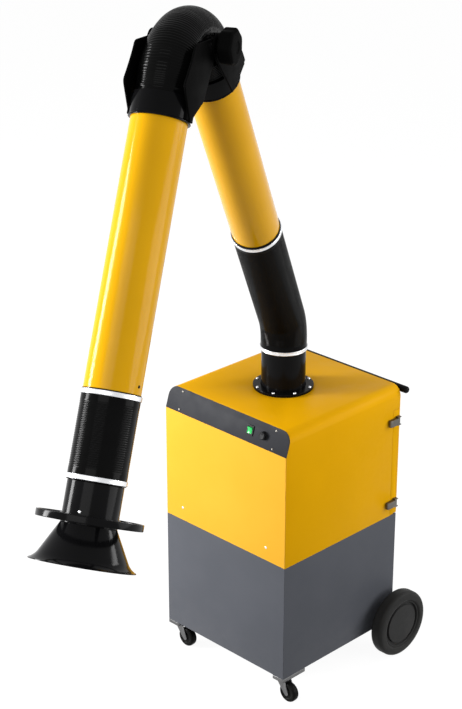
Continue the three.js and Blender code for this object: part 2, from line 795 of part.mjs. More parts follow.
function addGrille(cabinet) {
  const outerX = [exhaustX[0] - grilleMargin, exhaustX[1] + grilleMargin];
  const outerZ = [exhaustZ[0] - grilleMargin, exhaustZ[1] + 2 * fanSheet];
  const plateY = [wallY + fit, wallY + fit + grilleSheet];
  const pitch = (exhaustZ[1] - exhaustZ[0]) / louvres;
  const rows = Array.from({ length: louvres }, (_, i) => exhaustZ[0] + (i + 0.5) * pitch);
  const slots = rows.map((z) => slab(exhaustX, both(far), both(louvreGap / 2).map((end) => z + end)));
  const blades = rows.map((z) => {
    const hood = new THREE.Shape();
    hood.moveTo(0, louvreGap / 2 + grilleSheet);
    hood.lineTo(louvreGap, -louvreGap / 4);
    hood.lineTo(louvreGap - grilleSheet, -louvreGap / 4);
    hood.lineTo(0, louvreGap / 2 - grilleSheet / 2);
    hood.closePath();
    const options = { depth: exhaustX[1] - exhaustX[0], bevelEnabled: false };
    const blade = new THREE.ExtrudeGeometry(hood, options).rotateX(Math.PI / 2).rotateZ(Math.PI / 2);
    return blade.translate(exhaustX[0], plateY[0] + grilleSheet / 2, z);
  });
  const panel = slab(outerX, plateY, outerZ);
  piece(cabinet, 'exhaust_grille', join(cut(panel, ...slots), ...blades), greyPaint);
}

// Push handle

function addHandle(cabinet) {
  const radius = handleDiameter / 2;
  const half = wallX + handleOverhang;
  const bar = turned(
    [
      [0, -half],
      [radius * 0.7, -half],
      [radius, -half + radius * 0.5],
      [radius, half - radius * 0.5],
      [radius * 0.7, half],
      [0, half]
    ],
    pinSides
  );
  const posts = [-1, 1].map((side) => {
    const middle = side * (wallX - handlePostInset);
    const across = both(handlePost / 2).map((x) => middle + x);
    return slab(across, [fit - handleBehind, 0], both(radius * 0.8));
  });
  const whole = join(alongX(bar), ...posts);
  const height = cabinetTop - handleBelow - radius;
  piece(cabinet, 'push_handle', whole.translate(0, wallY + handleBehind, height), blackPaint);
}

// Wheels and castors

function addRearWheels(cabinet) {
  const outer = wallX + wheelGap + wheelWidth;
  const capDepth = 2 * webSheet;
  const axleHalf = outer - capDepth - fit;
  piece(
    cabinet,
    'rear_axle',
    alongX(rod(axleRadius, both(axleHalf), pinSides)).translate(0, axleY, wheelApothem),
    zinc
  );
  const inset = wheelWidth - webSheet;
  const rim = [
    [0, wheelWidth - capDepth],
    [0, inset],
    [rimRadius - 2 * rimWall, inset],
    [rimRadius - 1.5 * rimWall, inset - webSheet / 2],
    [rimRadius - rimWall, inset],
    [rimRadius, inset],
    [rimRadius, webSheet],
    [rimRadius - rimWall, webSheet],
    [rimRadius - rimWall, wheelWidth - capDepth],
    [axleRadius + hubWall, wheelWidth - capDepth],
    [axleRadius + hubWall, 0],
    [axleRadius + fit, 0],
    [axleRadius + fit, wheelWidth - capDepth]
  ];
  const seat = rimRadius + fit;
  const tyre = [
    [seat, webSheet],
    [seat + shoulder / 2, 0],
    [wheelRadius - shoulder, 0],
    [wheelRadius - shoulder * 0.3, shoulder * 0.3],
    [wheelRadius, shoulder],
    [wheelRadius, wheelWidth - shoulder],
    [wheelRadius - shoulder * 0.3, wheelWidth - shoulder * 0.3],
    [wheelRadius - shoulder, wheelWidth],
    [seat + shoulder / 2, wheelWidth],
    [seat, inset]
  ];
  for (const [side, sign] of [['left', -1], ['right', 1]]) {
    const wheel = new THREE.Group();
    wheel.name = `rear_wheel_${side}`;
    wheel.position.set(sign * (wallX + wheelGap), axleY, wheelApothem);
    wheel.rotation.z = sign > 0 ? 0 : Math.PI;
    cabinet.add(wheel);
    const flatDown = (geometry) => alongX(geometry.rotateZ(Math.PI / wheelSides));
    piece(wheel, `rear_rim_${side}`, flatDown(turned(rim, wheelSides)), greyPaint);
    piece(wheel, `rear_tyre_${side}`, flatDown(turned(tyre, wheelSides)), blackRubber);
  }
}

function addCastors(cabinet) {
  const sides = wheelSides / 2;
  const apothem = castorWheelRadius * Math.cos(Math.PI / sides);
  const plateTop = baseUnderside - fit;
  const plateUnder = plateTop - castorPlateHeight;
  const gap = castorWheelWidth / 2 + fit * 4;
  for (const [side, sign] of [['left', -1], ['right', 1]]) {
    const x = sign * (wallX - castorInsetX);
    const y = -wallY + castorInsetY;
    const edge = sign * wallX;
    const across = [edge - sign * castorPlateWidth, edge].sort((a, b) => a - b);
    const channel = slab(across, [-wallY, -wallY + castorPlateLength], [plateUnder, plateTop]);
    const socketZ = [plateUnder - 1, plateTop - castorForkSheet];
    const socket = bore(castorAxle, socketZ, pinSides).translate(x, y, 0);
    piece(cabinet, `castor_plate_${side}`, cut(channel, socket), castMetal);

    const swivel = new THREE.Group();
    swivel.name = `castor_${side}`;
    swivel.position.set(x, y, 0);
    cabinet.add(swivel);
    piece(swivel, `castor_fork_${side}`, castorFork(plateUnder - fit, apothem, gap), castMetal);

    const wheel = new THREE.Group();
    wheel.name = `castor_wheel_${side}`;
    wheel.position.set(castorTrail, 0, apothem);
    swivel.add(wheel);
    const half = castorWheelWidth / 2;
    const tread = turned(
      [
        [castorAxle + fit, -half],
        [castorWheelRadius - castorShoulder, -half],
        [castorWheelRadius, -half + castorShoulder],
        [castorWheelRadius, half - castorShoulder],
        [castorWheelRadius - castorShoulder, half],
        [castorAxle + fit, half]
      ],
      sides
    );
    piece(wheel, `castor_wheel_${side}`, alongY(tread.rotateZ(Math.PI / sides)), blackRubber);
  }
}

// Swivel head, two trailing legs and the axle between them.
function castorFork(top, axleHeight, gap) {
  const head = rod(castorHeadRadius, [top - castorHeadHeight, top], pinSides);
  const stemZ = [top - castorHeadHeight, top + castorPlateHeight - 2 * castorForkSheet];
  const stem = rod(castorAxle, stemZ, pinSides);
  const crown = slab(
    [-castorHeadRadius, castorHeadRadius],
    both(gap + castorForkSheet),
    [top - castorHeadHeight, top - castorHeadHeight + castorForkSheet]
  );
  const leg = new THREE.Shape();
  leg.moveTo(-castorHeadRadius, top - castorHeadHeight + castorForkSheet);
  leg.lineTo(castorTrail - castorAxle * 2, axleHeight - castorAxle);
  leg.absarc(castorTrail, axleHeight, castorAxle * 2, Math.PI, 2 * Math.PI);
  leg.lineTo(castorHeadRadius, top - castorHeadHeight + castorForkSheet);
  leg.closePath();
  const legs = [-1, 1].map((side) => {
    const ends = [side * gap, side * (gap + castorForkSheet)].sort((a, b) => a - b);
    return plate(leg, ends);
  });
  const bolt = alongY(rod(castorAxle, both(gap + castorForkSheet), pinSides));
  const axle = bolt.translate(castorTrail, 0, axleHeight);
  return join(head, stem, crown, ...legs, axle);
}

// Hoses and clamps

// A ribbed hose that starts along Z, bends towards X by turn radians and goes on straight.
function ribbedHose(first, bendRadius, turn, last, cuffRadius) {
  const length = first + bendRadius * turn + last;
  const station = (s) => {
    if (s <= first) return { x: 0, z: s, angle: 0 };
    const angle = turn > 0 ? Math.min((s - first) / bendRadius, turn) : 0;
    const rest = Math.max(s - first - bendRadius * turn, 0);
    return {
      x: bendRadius * (1 - Math.cos(angle)) + rest * Math.sin(angle),
      z: first + bendRadius * Math.sin(angle) + rest * Math.cos(angle),
      angle
    };
  };
  const ribbed = length - 2 * cuffLength;
  const ribs = Math.round(ribbed / ribPitch);
  const pitch = ribbed / ribs;
  const outer = [{ s: 0, radius: cuffRadius }];
  for (let i = 0; i < ribs; i++) {
    outer.push({ s: cuffLength + i * pitch, radius: i === 0 ? cuffRadius : hoseRoot });
    outer.push({ s: cuffLength + (i + 0.5) * pitch, radius: hoseCrest });
  }
  outer.push({ s: length - cuffLength, radius: cuffRadius }, { s: length, radius: cuffRadius });
  const boreRings = Math.ceil(ribs / 5) + 1;
  const boreRing = (_, i) => ({ s: length * (1 - i / boreRings), radius: hoseBore });
  const inner = Array.from({ length: boreRings + 1 }, boreRing);
  const rings = [...outer, ...inner];
  const positions = rings.flatMap(({ s, radius }) => {
    const { x, z, angle } = station(s);
    return Array.from({ length: hoseSides }, (_, k) => {
      const around = (2 * Math.PI * (k + 0.5)) / hoseSides;
      const reach = radius * Math.cos(around);
      return [x + reach * Math.cos(angle), radius * Math.sin(around), z - reach * Math.sin(angle)];
    }).flat();
  });
  const index = [];
  rings.forEach((_, i) => {
    const next = (i + 1) % rings.length;
    for (let k = 0; k < hoseSides; k++) {
      const [a, b] = [i * hoseSides + k, i * hoseSides + ((k + 1) % hoseSides)];
      const [c, d] = [next * hoseSides + k, next * hoseSides + ((k + 1) % hoseSides)];
      index.push(a, b, d, a, d, c);
    }
  });
  const geometry = new THREE.BufferGeometry();
  geometry.setAttribute('position', new THREE.Float32BufferAttribute(positions, 3));
  geometry.setIndex(index);
  return geometry;
}

// A band clamp with its screw housing on the side away from the hood.
function hoseClamp(middle) {
  const inner = (hoseCrest + fit) / Math.cos(Math.PI / tubeSides);
  const band = ring(inner, inner + clampBand, both(clampWidth / 2).map((z) => middle + z), tubeSides);
  const housing = slab(
    [-inner - clampBand - clampLug / 2, -inner - clampBand / 2],
    both(clampLug),
    both(clampWidth / 2).map((z) => middle + z)
  );
  return join(band, housing);
}

// A tube along Z with a narrow spigot for a hose at each end.
function ductTube(from, to) {
  const inside = tubeRadius - tubeWall;
  const throat = spigotRadius - tubeWall;
  return turned(
    [
      [spigotRadius, from - spigotLength],
      [spigotRadius, from],
      [tubeRadius, from],
      [tubeRadius, to],
      [spigotRadius, to],
      [spigotRadius, to + spigotLength],
      [throat, to + spigotLength],
      [throat, to - tubeWall],
      [inside, to - tubeWall],
      [inside, from + tubeWall],
      [throat, from + tubeWall],
      [throat, from - spigotLength]
    ],
    tubeSides
  );
}

// Arm foot

function addArmFoot(cabinet) {
  const foot = cabinetTop + fit;
  const lipTop = foot + lipThickness;
  const flats = Math.cos(Math.PI / tubeSides);
  const pocket = (lipRadius + fit) / flats;
  const throughHole = (collarRadius + fit) / flats;
  const disc = turned(
    [
      [pocket, foot],
      [flangeRadius, foot],
      [flangeRadius, foot + flangeThickness],
      [throughHole, foot + flangeThickness],
      [throughHole, lipTop + fit],
      [pocket, lipTop + fit]
    ],
    tubeSides
  );
  const heads = turns(flangeBolts, (angle) => {
    const headZ = [foot + flangeThickness / 2, foot + flangeThickness + boltHeadHeight];
    const head = rod(boltHead, headZ, boltSides);
    return head.translate(boltCircle, 0, 0).rotateZ(angle + Math.PI / flangeBolts);
  });
  piece(cabinet, 'base_flange', join(disc, ...heads), blackPaint);

  const swivel = new THREE.Group();
  swivel.name = 'arm_swivel';
  swivel.rotation.z = THREE.MathUtils.degToRad(armHeading);
  cabinet.add(swivel);
  const inside = collarRadius - tubeWall;
  const throat = spigotRadius - tubeWall;
  const collar = turned(
    [
      [inside, foot],
      [lipRadius, foot],
      [lipRadius, lipTop],
      [collarRadius, lipTop],
      [collarRadius, collarTop],
      [spigotRadius, collarTop],
      [spigotRadius, collarTop + spigotLength],
      [throat, collarTop + spigotLength],
      [throat, collarTop - tubeWall],
      [inside, collarTop - tubeWall]
    ],
    tubeSides
  );
  piece(swivel, 'swivel_collar', collar, blackPaint);

  const bar = slab(both(bracketBar / 2), both(inside), [bracketFoot, bracketFoot + bracketBar]);
  const trimmed = shared(bar, rod(inside - fit, both(far), tubeSides));
  const upright = new THREE.Shape();
  upright.moveTo(-bracketWidth / 2, bracketFoot);
  upright.lineTo(bracketWidth / 2, bracketFoot);
  upright.absarc(0, tiltHeight, bracketWidth / 2, 0, Math.PI);
  upright.closePath();
  const inner = strutWidth / 2 + fit;
  const cheeks = [-1, 1].map((side) => {
    return plate(upright, [side * inner, side * (inner + cheekSheet)].sort((a, b) => a - b));
  });
  const boltHole = alongY(bore(tiltBolt, both(far), pinSides)).translate(0, 0, tiltHeight);
  piece(swivel, 'base_bracket', cut(join(trimmed, ...cheeks), boltHole), zinc);
  const bolt = crossBolt(tiltBolt, tiltBoltHead, tiltBoltHeadHeight, inner + cheekSheet + fit);
  piece(swivel, 'tilt_bolt', bolt.translate(0, 0, tiltHeight), zinc);

  const lean = THREE.MathUtils.degToRad(armLean);
  const tangent = baseHoseBend * Math.tan(lean / 2);
  const first = tiltHeight - collarTop - fit - tangent;
  const last = innerTubeFrom - fit - tangent;
  const hose = ribbedHose(first, baseHoseBend, lean, last, hoseCrest);
  piece(swivel, 'base_hose', hose.translate(0, 0, collarTop + fit), blackHose);
  piece(swivel, 'base_clamp', hoseClamp(collarTop + clampInset), zinc);
  addInnerArm(swivel);
}

// A bolt along Y with a six-sided head at each end.
function crossBolt(radius, headRadius, headHeight, grip) {
  const shank = rod(radius, both(grip + headHeight / 2), pinSides);
  const heads = [-1, 1].map((side) => {
    return rod(headRadius, [side * grip, side * (grip + headHeight)].sort((a, b) => a - b), boltSides);
  });
  return alongY(join(shank, ...heads));
}

// A bar from a pivot eye at height zero to a cross that fits inside a tube.
function pivotStrut(eyeWidth, eyeRadius, bar, end, crossZ, pin) {
  const reach = tubeRadius - tubeWall - fit;
  const eye = alongY(rod(eyeRadius, both(eyeWidth / 2), pinSides));
  const shank = slab(both(bar / 2), both(bar / 2), [Math.min(0, end), Math.max(0, end)]);
  const along = slab(both(tubeRadius), both(bar / 2), crossZ);
  const arms = [along, slab(both(bar / 2), both(tubeRadius), crossZ)];
  const cross = shared(join(...arms), rod(reach, both(far), tubeSides));
  const hole = alongY(bore(pin, both(far), pinSides));
  return cut(join(eye, shank, cross), hole);
}

function addInnerArm(swivel) {
  const arm = new THREE.Group();
  arm.name = 'base_tilt';
  arm.position.z = tiltHeight;
  arm.rotation.y = THREE.MathUtils.degToRad(armLean);
  swivel.add(arm);
  const crossZ = [spiderFrom, spiderFrom + spiderThickness];
  const strut = pivotStrut(strutWidth, bracketWidth / 2, strutBar, strutEnd, crossZ, tiltBolt);
  piece(arm, 'inner_strut', strut, zinc);
  piece(arm, 'inner_tube', ductTube(innerTubeFrom, elbowAlong - tubeToElbow), yellowPaint);
  piece(arm, 'inner_clamp', hoseClamp(innerTubeFrom - innerClampInset), zinc);

  const elbow = new THREE.Group();
  elbow.position.set(elbowOffset, 0, elbowAlong);
  arm.add(elbow);
  const turn = Math.PI - THREE.MathUtils.degToRad(elbowAngle);
  const straight = tubeToElbow - fit - (elbowBend - elbowOffset) * Math.tan(turn / 2);
  const hose = ribbedHose(straight, elbowBend, turn, straight, elbowCuff);
  piece(elbow, 'elbow_hose', hose.translate(-elbowOffset, 0, fit - tubeToElbow), blackHose);
  piece(elbow, 'inner_fork', elbowFork(-1, strapOutline(), innerCheekAt, strapPad), blackPaint);
  addOuterArm(elbow, turn);
}

// The inner fork's cheek: a strap from the collar to the elbow pivot.
function strapOutline() {
  const shape = new THREE.Shape();
  const foot = -forkNear - (forkFar - forkNear) / 3;
  shape.moveTo(-elbowOffset - strapHalf, foot);
  shape.lineTo(-elbowOffset + strapHalf, foot);
  shape.lineTo(strapEye, 0);
  shape.absarc(0, 0, strapEye, 0, Math.PI * 0.8);
  shape.quadraticCurveTo(-elbowOffset - strapHalf, -forkNear / 3, -elbowOffset - strapHalf, foot);
  return shape;
}

// The outer fork's cheek: a shield beside the hose that narrows to the collar and to the pivot.
function shieldOutline() {
  const shape = new THREE.Shape();
  const foot = forkNear + (forkFar - forkNear) / 3;
  const heel = shieldHeel - elbowOffset;
  shape.moveTo(-elbowOffset, foot);
  shape.lineTo(shieldTurn - shieldReach, shieldAlong + shieldTurn / 2);
  shape.quadraticCurveTo(-shieldReach, shieldAlong, -shieldReach, shieldAlong - shieldTurn);
  const front = -shieldShoulder - shieldTurn;
  const back = -shieldShoulder + shieldTurn;
  shape.quadraticCurveTo(-shieldReach, shieldAlong / 2, front, shieldRise + shieldTurn);
  shape.quadraticCurveTo(-shieldShoulder, shieldRise, back, shieldRise - shieldTurn / 4);
  shape.lineTo(-shieldEye * Math.sin(Math.PI / 12), -shieldEye * Math.cos(Math.PI / 12));
  shape.absarc(0, 0, shieldEye, (Math.PI * 17) / 12, Math.PI * 2);
  shape.lineTo(heel, forkNear - shieldTurn);
  return shape;
}

// A collar on the tube and a cheek on each side of the elbow. Side is -1 below the pivot and 1 beyond it.
function elbowFork(side, outline, cheekAt, pad) {
  const ends = [side * forkNear, side * forkFar].sort((a, b) => a - b);
  const lipEnds = [side * (forkFar - 2 * forkLip), side * forkFar].sort((a, b) => a - b);
  const onTube = (geometry) => geometry.translate(-elbowOffset, 0, 0);
  const collar = onTube(rod(forkRadius, ends, tubeSides));
  const lip = onTube(rod(forkRadius + forkLip, lipEnds, tubeSides));
  const tubeBore = onTube(rod(tubeRadius + fit, both(far), tubeSides));
  const padZ = [side * forkNear, side * (forkNear + pad.depth)].sort((a, b) => a - b);
  const cheeks = [-1, 1].map((hand) => {
    const across = [hand * cheekAt, hand * (cheekAt + cheekThickness)].sort((a, b) => a - b);
    const padY = [hand * tubeRadius * 0.7, hand * (cheekAt + cheekThickness / 2)].sort((a, b) => a - b);
    return join(plate(outline, across), onTube(slab(pad.across, padY, padZ)));
  });
  const stud = alongY(bore(studRadius, both(far), pinSides));
  return cut(join(collar, lip, ...cheeks), tubeBore, stud);
}

function addOuterArm(elbow, turn) {
  const arm = new THREE.Group();
  arm.name = 'elbow';
  arm.rotation.y = turn;
  elbow.add(arm);
  piece(arm, 'outer_fork', elbowFork(1, shieldOutline(), outerCheekAt, shieldPad), blackPaint);
  const discFrom = innerCheekAt + cheekThickness + fit;
  for (const [side, hand] of [['left', -1], ['right', 1]]) {
    const span = [hand * discFrom, hand * (discFrom + discThickness)].sort((a, b) => a - b);
    piece(arm, `friction_disc_${side}`, alongY(ring(studRadius + fit, shieldEye, span, tubeSides)), zinc);
  }
  piece(arm, 'elbow_pin', alongY(elbowPin()).rotateZ(Math.PI), blackPaint);
  const knob = new THREE.Group();
  knob.name = 'elbow_knob';
  arm.add(knob);
  piece(knob, 'elbow_knob', alongY(elbowKnob()), blackPaint);
  const onTube = (geometry) => geometry.translate(-elbowOffset, 0, 0);
  piece(arm, 'outer_tube', onTube(ductTube(tubeToElbow, outerTubeTo)), yellowPaint);
  piece(arm, 'outer_clamp', onTube(hoseClamp(outerTubeTo + clampInset).rotateZ(Math.PI)), zinc);
  const linkZ = [hoodLinkFrom - hoodPivotAlong, hoodLinkFrom - hoodPivotAlong + spiderThickness];
  const link = pivotStrut(hoodEye, bracketWidth / 2, strutBar, linkZ[0], linkZ, hoodPin);
  piece(arm, 'hood_link', onTube(link).translate(0, 0, hoodPivotAlong), zinc);
  const hoseFrom = outerTubeTo + fit;
  const hoseTo = hoodPivotAlong + neckFrom - fit;
  const hose = onTube(ribbedHose(hoseTo - hoseFrom, 1, 0, 0, hoseCrest));
  piece(arm, 'hood_hose', hose.translate(0, 0, hoseFrom), blackHose);

  const hood = new THREE.Group();
  hood.name = 'hood_tilt';
  hood.position.set(-elbowOffset, 0, hoodPivotAlong);
  arm.add(hood);
  addHood(hood);
}

// Outline of a stud through both cheeks with its inner head, drawn outwards along Z from the arm's plane.
function elbowStud() {
  const headTo = innerCheekAt - fit;
  return [
    [0, headTo - studHeadHeight],
    [studHead, headTo - studHeadHeight],
    [studHead, headTo],
    [studRadius, headTo],
    [studRadius, outerCheekAt + cheekThickness + fit]
  ];
}

function elbowPin() {
  const headFrom = outerCheekAt + cheekThickness + fit;
  const headTo = headFrom + pinHeadHeight;
  const chamfer = pinHeadHeight / 4;
  const head = [
    [studHead, headFrom],
    [studHead, headTo - chamfer],
    [studHead - chamfer, headTo],
    [0, headTo]
  ];
  return turned([...elbowStud(), ...head], pinSides);
}

// The clamping knob with its hub.
function elbowKnob() {
  const hubFrom = outerCheekAt + cheekThickness + fit;
  const knobFrom = hubFrom + elbowKnobStandOff;
  const knobTo = knobFrom + elbowKnobHeight;
  const chamfer = elbowKnobHeight / 5;
  const grip = [
    [elbowHubRadius, hubFrom],
    [elbowHubRadius, knobFrom],
    [elbowKnobRadius - chamfer, knobFrom],
    [elbowKnobRadius, knobFrom + chamfer],
    [elbowKnobRadius, knobTo - chamfer],
    [elbowKnobRadius - chamfer, knobTo],
    [0, knobTo]
  ];
  return turned([...elbowStud(), ...grip], tubeSides);
}

function addHood(hood) {
  const inside = neckRadius - hoodWall;
  const throat = spigotRadius - hoodWall;
  const slope = (coneRadius - neckRadius) / (coneTo - coneFrom);
  const cone = turned(
    [
      [spigotRadius, neckFrom - spigotLength],
      [spigotRadius, neckFrom],
      [neckRadius, neckFrom],
      [neckRadius, coneFrom],
      [coneRadius, coneTo],
      [(coneRadius + hoodRimRadius) / 2, coneTo + (rimAlong - coneTo) * 0.6],
      [hoodRimRadius, rimAlong - hoodWall],
      [hoodRimRadius, rimAlong],
      [hoodRimRadius - hoodWall * 2, rimAlong],
      [(coneRadius + hoodRimRadius) / 2 - hoodWall, coneTo + (rimAlong - coneTo) * 0.6 + hoodWall],
      [coneRadius - hoodWall, coneTo + hoodWall * slope],
      [inside, coneFrom + hoodWall * slope],
      [inside, neckFrom + hoodWall],
      [throat, neckFrom + hoodWall],
      [throat, neckFrom - spigotLength]
    ],
    wheelSides
  );
  piece(hood, 'hood', cone, blackPaint);
  piece(hood, 'hood_clamp', hoseClamp(neckFrom - clampInset).rotateZ(Math.PI), zinc);

  const sleeveBore = neckRadius + fit;
  const band = both(grabHeight / 2).map((z) => grabAlong + z);
  const sleeve = ring(sleeveBore, sleeveBore + grabSleeve, band, wheelSides);
  const hoop = ring(hoodRimRadius - grabBand, hoodRimRadius, band, wheelSides);
  const spokes = turns(grabSpokes, (angle) => {
    const span = [sleeveBore + grabSleeve / 2, hoodRimRadius - grabBand / 2];
    const spoke = slab(span, both(spokeWidth / 2), both(grabHeight / 3).map((z) => grabAlong + z));
    return spoke.rotateZ(angle + Math.PI / grabSpokes);
  });
  piece(hood, 'hood_ring', join(sleeve, hoop, ...spokes), blackPaint);

  const bar = slab(both(bracketBar / 2), both(inside), [yokeFrom, yokeFrom + bracketBar]);
  const trimmed = shared(bar, rod(inside - fit, both(far), wheelSides));
  const upright = new THREE.Shape();
  upright.moveTo(bracketWidth / 2, yokeFrom + bracketBar);
  upright.lineTo(-bracketWidth / 2, yokeFrom + bracketBar);
  upright.absarc(0, 0, bracketWidth / 2, Math.PI, 2 * Math.PI);
  upright.closePath();
  const inner = hoodEye / 2 + fit;
  const cheeks = [-1, 1].map((side) => {
    return plate(upright, [side * inner, side * (inner + cheekSheet)].sort((a, b) => a - b));
  });
  const hole = alongY(bore(hoodPin, both(far), pinSides));
  piece(hood, 'hood_yoke', cut(join(trimmed, ...cheeks), hole), zinc);
  piece(hood, 'hood_pin', crossBolt(hoodPin, hoodPinHead, hoodPin, inner + cheekSheet + fit), zinc);
}

// The whole unit, standing on the floor with the middle of its box over the origin

const unit = new THREE.Group();
addBase(unit);
addUpperCabinet(unit);
addControlPanel(unit);
addRearDoor(unit);
addFilter(unit);
addFan(unit);
addHandle(unit);
addRearWheels(unit);
addCastors(unit);
addArmFoot(unit);

const extractor = new THREE.Group();
extractor.add(unit);
extractor.updateMatrixWorld(true);
const box = new THREE.Box3().setFromObject(extractor, true);
unit.position.set(-(box.min.x + box.max.x) / 2, -(box.min.y + box.max.y) / 2, -box.min.z);

export default extractor;
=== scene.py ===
"""Dresses a mobile fume extractor: a wheeled filter cabinet that carries a jointed extraction arm.

Pieces are drawn in millimetres in the frame of the body that carries them, then placed in the shared frame in metres.
"""

import logging
import math
from collections.abc import Iterable, Sequence
from dataclasses import dataclass, field, replace
from enum import Enum
from typing import Any, ClassVar

import bmesh
import bpy
from bmesh.types import BMesh
from bpy.types import Material, Mesh, Node, NodeSocket, NodeTree, Object
from mathutils import Matrix, Vector


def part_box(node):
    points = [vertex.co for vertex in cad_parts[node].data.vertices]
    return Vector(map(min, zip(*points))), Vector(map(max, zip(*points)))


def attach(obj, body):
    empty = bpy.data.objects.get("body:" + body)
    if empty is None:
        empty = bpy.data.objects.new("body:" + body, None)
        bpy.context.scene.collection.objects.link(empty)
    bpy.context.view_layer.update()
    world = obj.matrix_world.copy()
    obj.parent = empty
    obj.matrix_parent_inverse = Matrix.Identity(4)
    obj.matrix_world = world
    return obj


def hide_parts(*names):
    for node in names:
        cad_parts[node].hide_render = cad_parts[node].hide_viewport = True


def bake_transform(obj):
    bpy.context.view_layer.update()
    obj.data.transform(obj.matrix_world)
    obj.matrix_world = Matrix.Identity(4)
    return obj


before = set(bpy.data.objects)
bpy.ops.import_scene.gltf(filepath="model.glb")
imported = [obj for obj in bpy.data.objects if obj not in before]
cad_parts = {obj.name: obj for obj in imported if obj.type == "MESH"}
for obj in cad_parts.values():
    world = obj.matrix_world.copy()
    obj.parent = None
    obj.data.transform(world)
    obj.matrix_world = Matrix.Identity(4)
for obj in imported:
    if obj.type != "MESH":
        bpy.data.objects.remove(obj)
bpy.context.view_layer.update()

MILLIMETRE = 0.001
FIT = 0.3  # gap between two pieces that touch
MERGE = 0.01  # points closer than this are one
NOTHING = 1e-6  # lengths below this count as zero
CUT_BEVEL = 0.7  # rounding of edges that a cut leaves
BEVELLED = math.radians(38)  # edges that turn by more than this are rounded
FLAT = math.radians(1)  # faces that turn by less than this are one
STRAIGHT = math.pi - 0.02  # corners wider than this stay as they are
LARGEST_EASE = 0.45  # share of a side that a rounded corner may take
SHARP = 36.0  # edges that turn by more than this many degrees are shaded sharp
FOLDED = 42.0  # the same for folded sheet

# Sides of round pieces
ROUND = 96
WHEEL_ROUND = 64
GLAND_ROUND = 48
BAR_ROUND = 40
PIN_ROUND = 24
HEAD_ROUND = 20

Point = tuple[float, float]
Span = tuple[float, float]
Triple = tuple[float, float, float]

log = logging.getLogger("extractor")


class Body(str, Enum):
    """Bodies that pieces ride on."""

    CABINET = "cabinet"
    ROCKER = "rocker"
    KNOB = "knob"
    DOOR = "door"
    LATCH_LOWER = "latch_lower"
    LATCH_UPPER = "latch_upper"
    WHEEL_LEFT = "rear_wheel_left"
    WHEEL_RIGHT = "rear_wheel_right"
    CASTOR_LEFT = "castor_left"
    CASTOR_RIGHT = "castor_right"
    ROLLER_LEFT = "castor_roller_left"
    ROLLER_RIGHT = "castor_roller_right"
    SWIVEL = "swivel"
    INNER_ARM = "inner_arm"
    OUTER_ARM = "outer_arm"
    CLAMP_KNOB = "clamp_knob"
    HOOD = "hood"


class Slot(str, Enum):
    """Material slots, which name the finishes."""

    YELLOW_PAINT = "yellow_paint"
    YELLOW_TUBE = "yellow_tube"
    GREY_PAINT = "grey_paint"
    PANEL_PAINT = "panel_paint"
    BLACK_PAINT = "black_paint"
    BLACK_PLASTIC = "black_plastic"
    SWITCH_PLASTIC = "switch_plastic"
    GREEN_LENS = "green_lens"
    RUBBER = "rubber"
    WHEEL_DISC = "wheel_disc"
    HOSE = "hose"
    ZINC = "zinc"
    ALLOY = "alloy"
    FILTER_MEDIA = "filter_media"


class Hand(Enum):
    """The two sides of the cabinet or of the arm."""

    LEFT = -1
    RIGHT = 1


def both(half: float) -> Span:
    """A span of the given half width about zero."""
    return (-half, half)


def in_order(first: float, second: float) -> Span:
    """The two ends of a span, lower end first."""
    return (min(first, second), max(first, second))


def moved(x: float = 0.0, y: float = 0.0, z: float = 0.0) -> Matrix:
    """A move without a turn."""
    return Matrix.Translation((x, y, z))


def mirrored(points: Sequence[Point], middle: float = 0.0) -> list[Point]:
    """The lower half of an outline, followed by its mirror image about the height of its middle."""
    return [*points, *((across, 2 * middle - height) for across, height in reversed(points))]


def arc(centre: Point, radius: float, start: float, end: float, steps: int) -> list[Point]:
    """Points on an arc, from one angle in radians to another."""
    angles = [start + (end - start) * step / steps for step in range(steps + 1)]
    return [(centre[0] + radius * math.cos(a), centre[1] + radius * math.sin(a)) for a in angles]


def bowed(start: Point, control: Point, end: Point, steps: int) -> list[Point]:
    """A curve that leaves a point towards another and arrives at a third.

    Args:
        start: Where it leaves, which isn't among the points given back.
        control: Where it heads at first.
        end: Where it arrives.
        steps: Number of points.

    Returns:
        The points.
    """
    made = []
    for step in range(1, steps + 1):
        share = step / steps
        blend = Vector(start) * (1 - share) ** 2 + Vector(control) * 2 * share * (1 - share) + Vector(end) * share**2
        made.append((blend.x, blend.y))
    return made


def eased(points: Sequence[Point], radius: float, closed: bool = True, steps: int = 4) -> list[Point]:
    """Rounds the corners of an outline.

    Args:
        points: Corners of the outline.
        radius: Length taken from each side of a corner.
        closed: Whether the last point joins the first.
        steps: Pieces that each rounded corner is made of.

    Returns:
        The rounded outline.
    """
    count = len(points)
    made: list[Point] = []
    for index, corner in enumerate(points):
        here = Vector(corner)
        before = Vector(points[index - 1]) - here
        after = Vector(points[(index + 1) % count]) - here
        is_end = not closed and index in (0, count - 1)
        on_axis = corner[0] < NOTHING
        is_straight = min(before.length, after.length) < NOTHING or before.angle(after) > STRAIGHT
        if is_end or on_axis or is_straight:
            made.append(corner)
            continue
        reach = min(radius, before.length * LARGEST_EASE, after.length * LARGEST_EASE)
        start = here + before.normalized() * reach
        end = here + after.normalized() * reach
        made += [(start.x, start.y), *bowed(start, corner, end, steps)]
    return made


ALONG_X = Matrix.Rotation(math.pi / 2, 4, "Y")
ALONG_Y = Matrix.Rotation(-math.pi / 2, 4, "X")
AGAINST_Y = Matrix.Rotation(math.pi / 2, 4, "X")
STILL = Matrix.Identity(4)


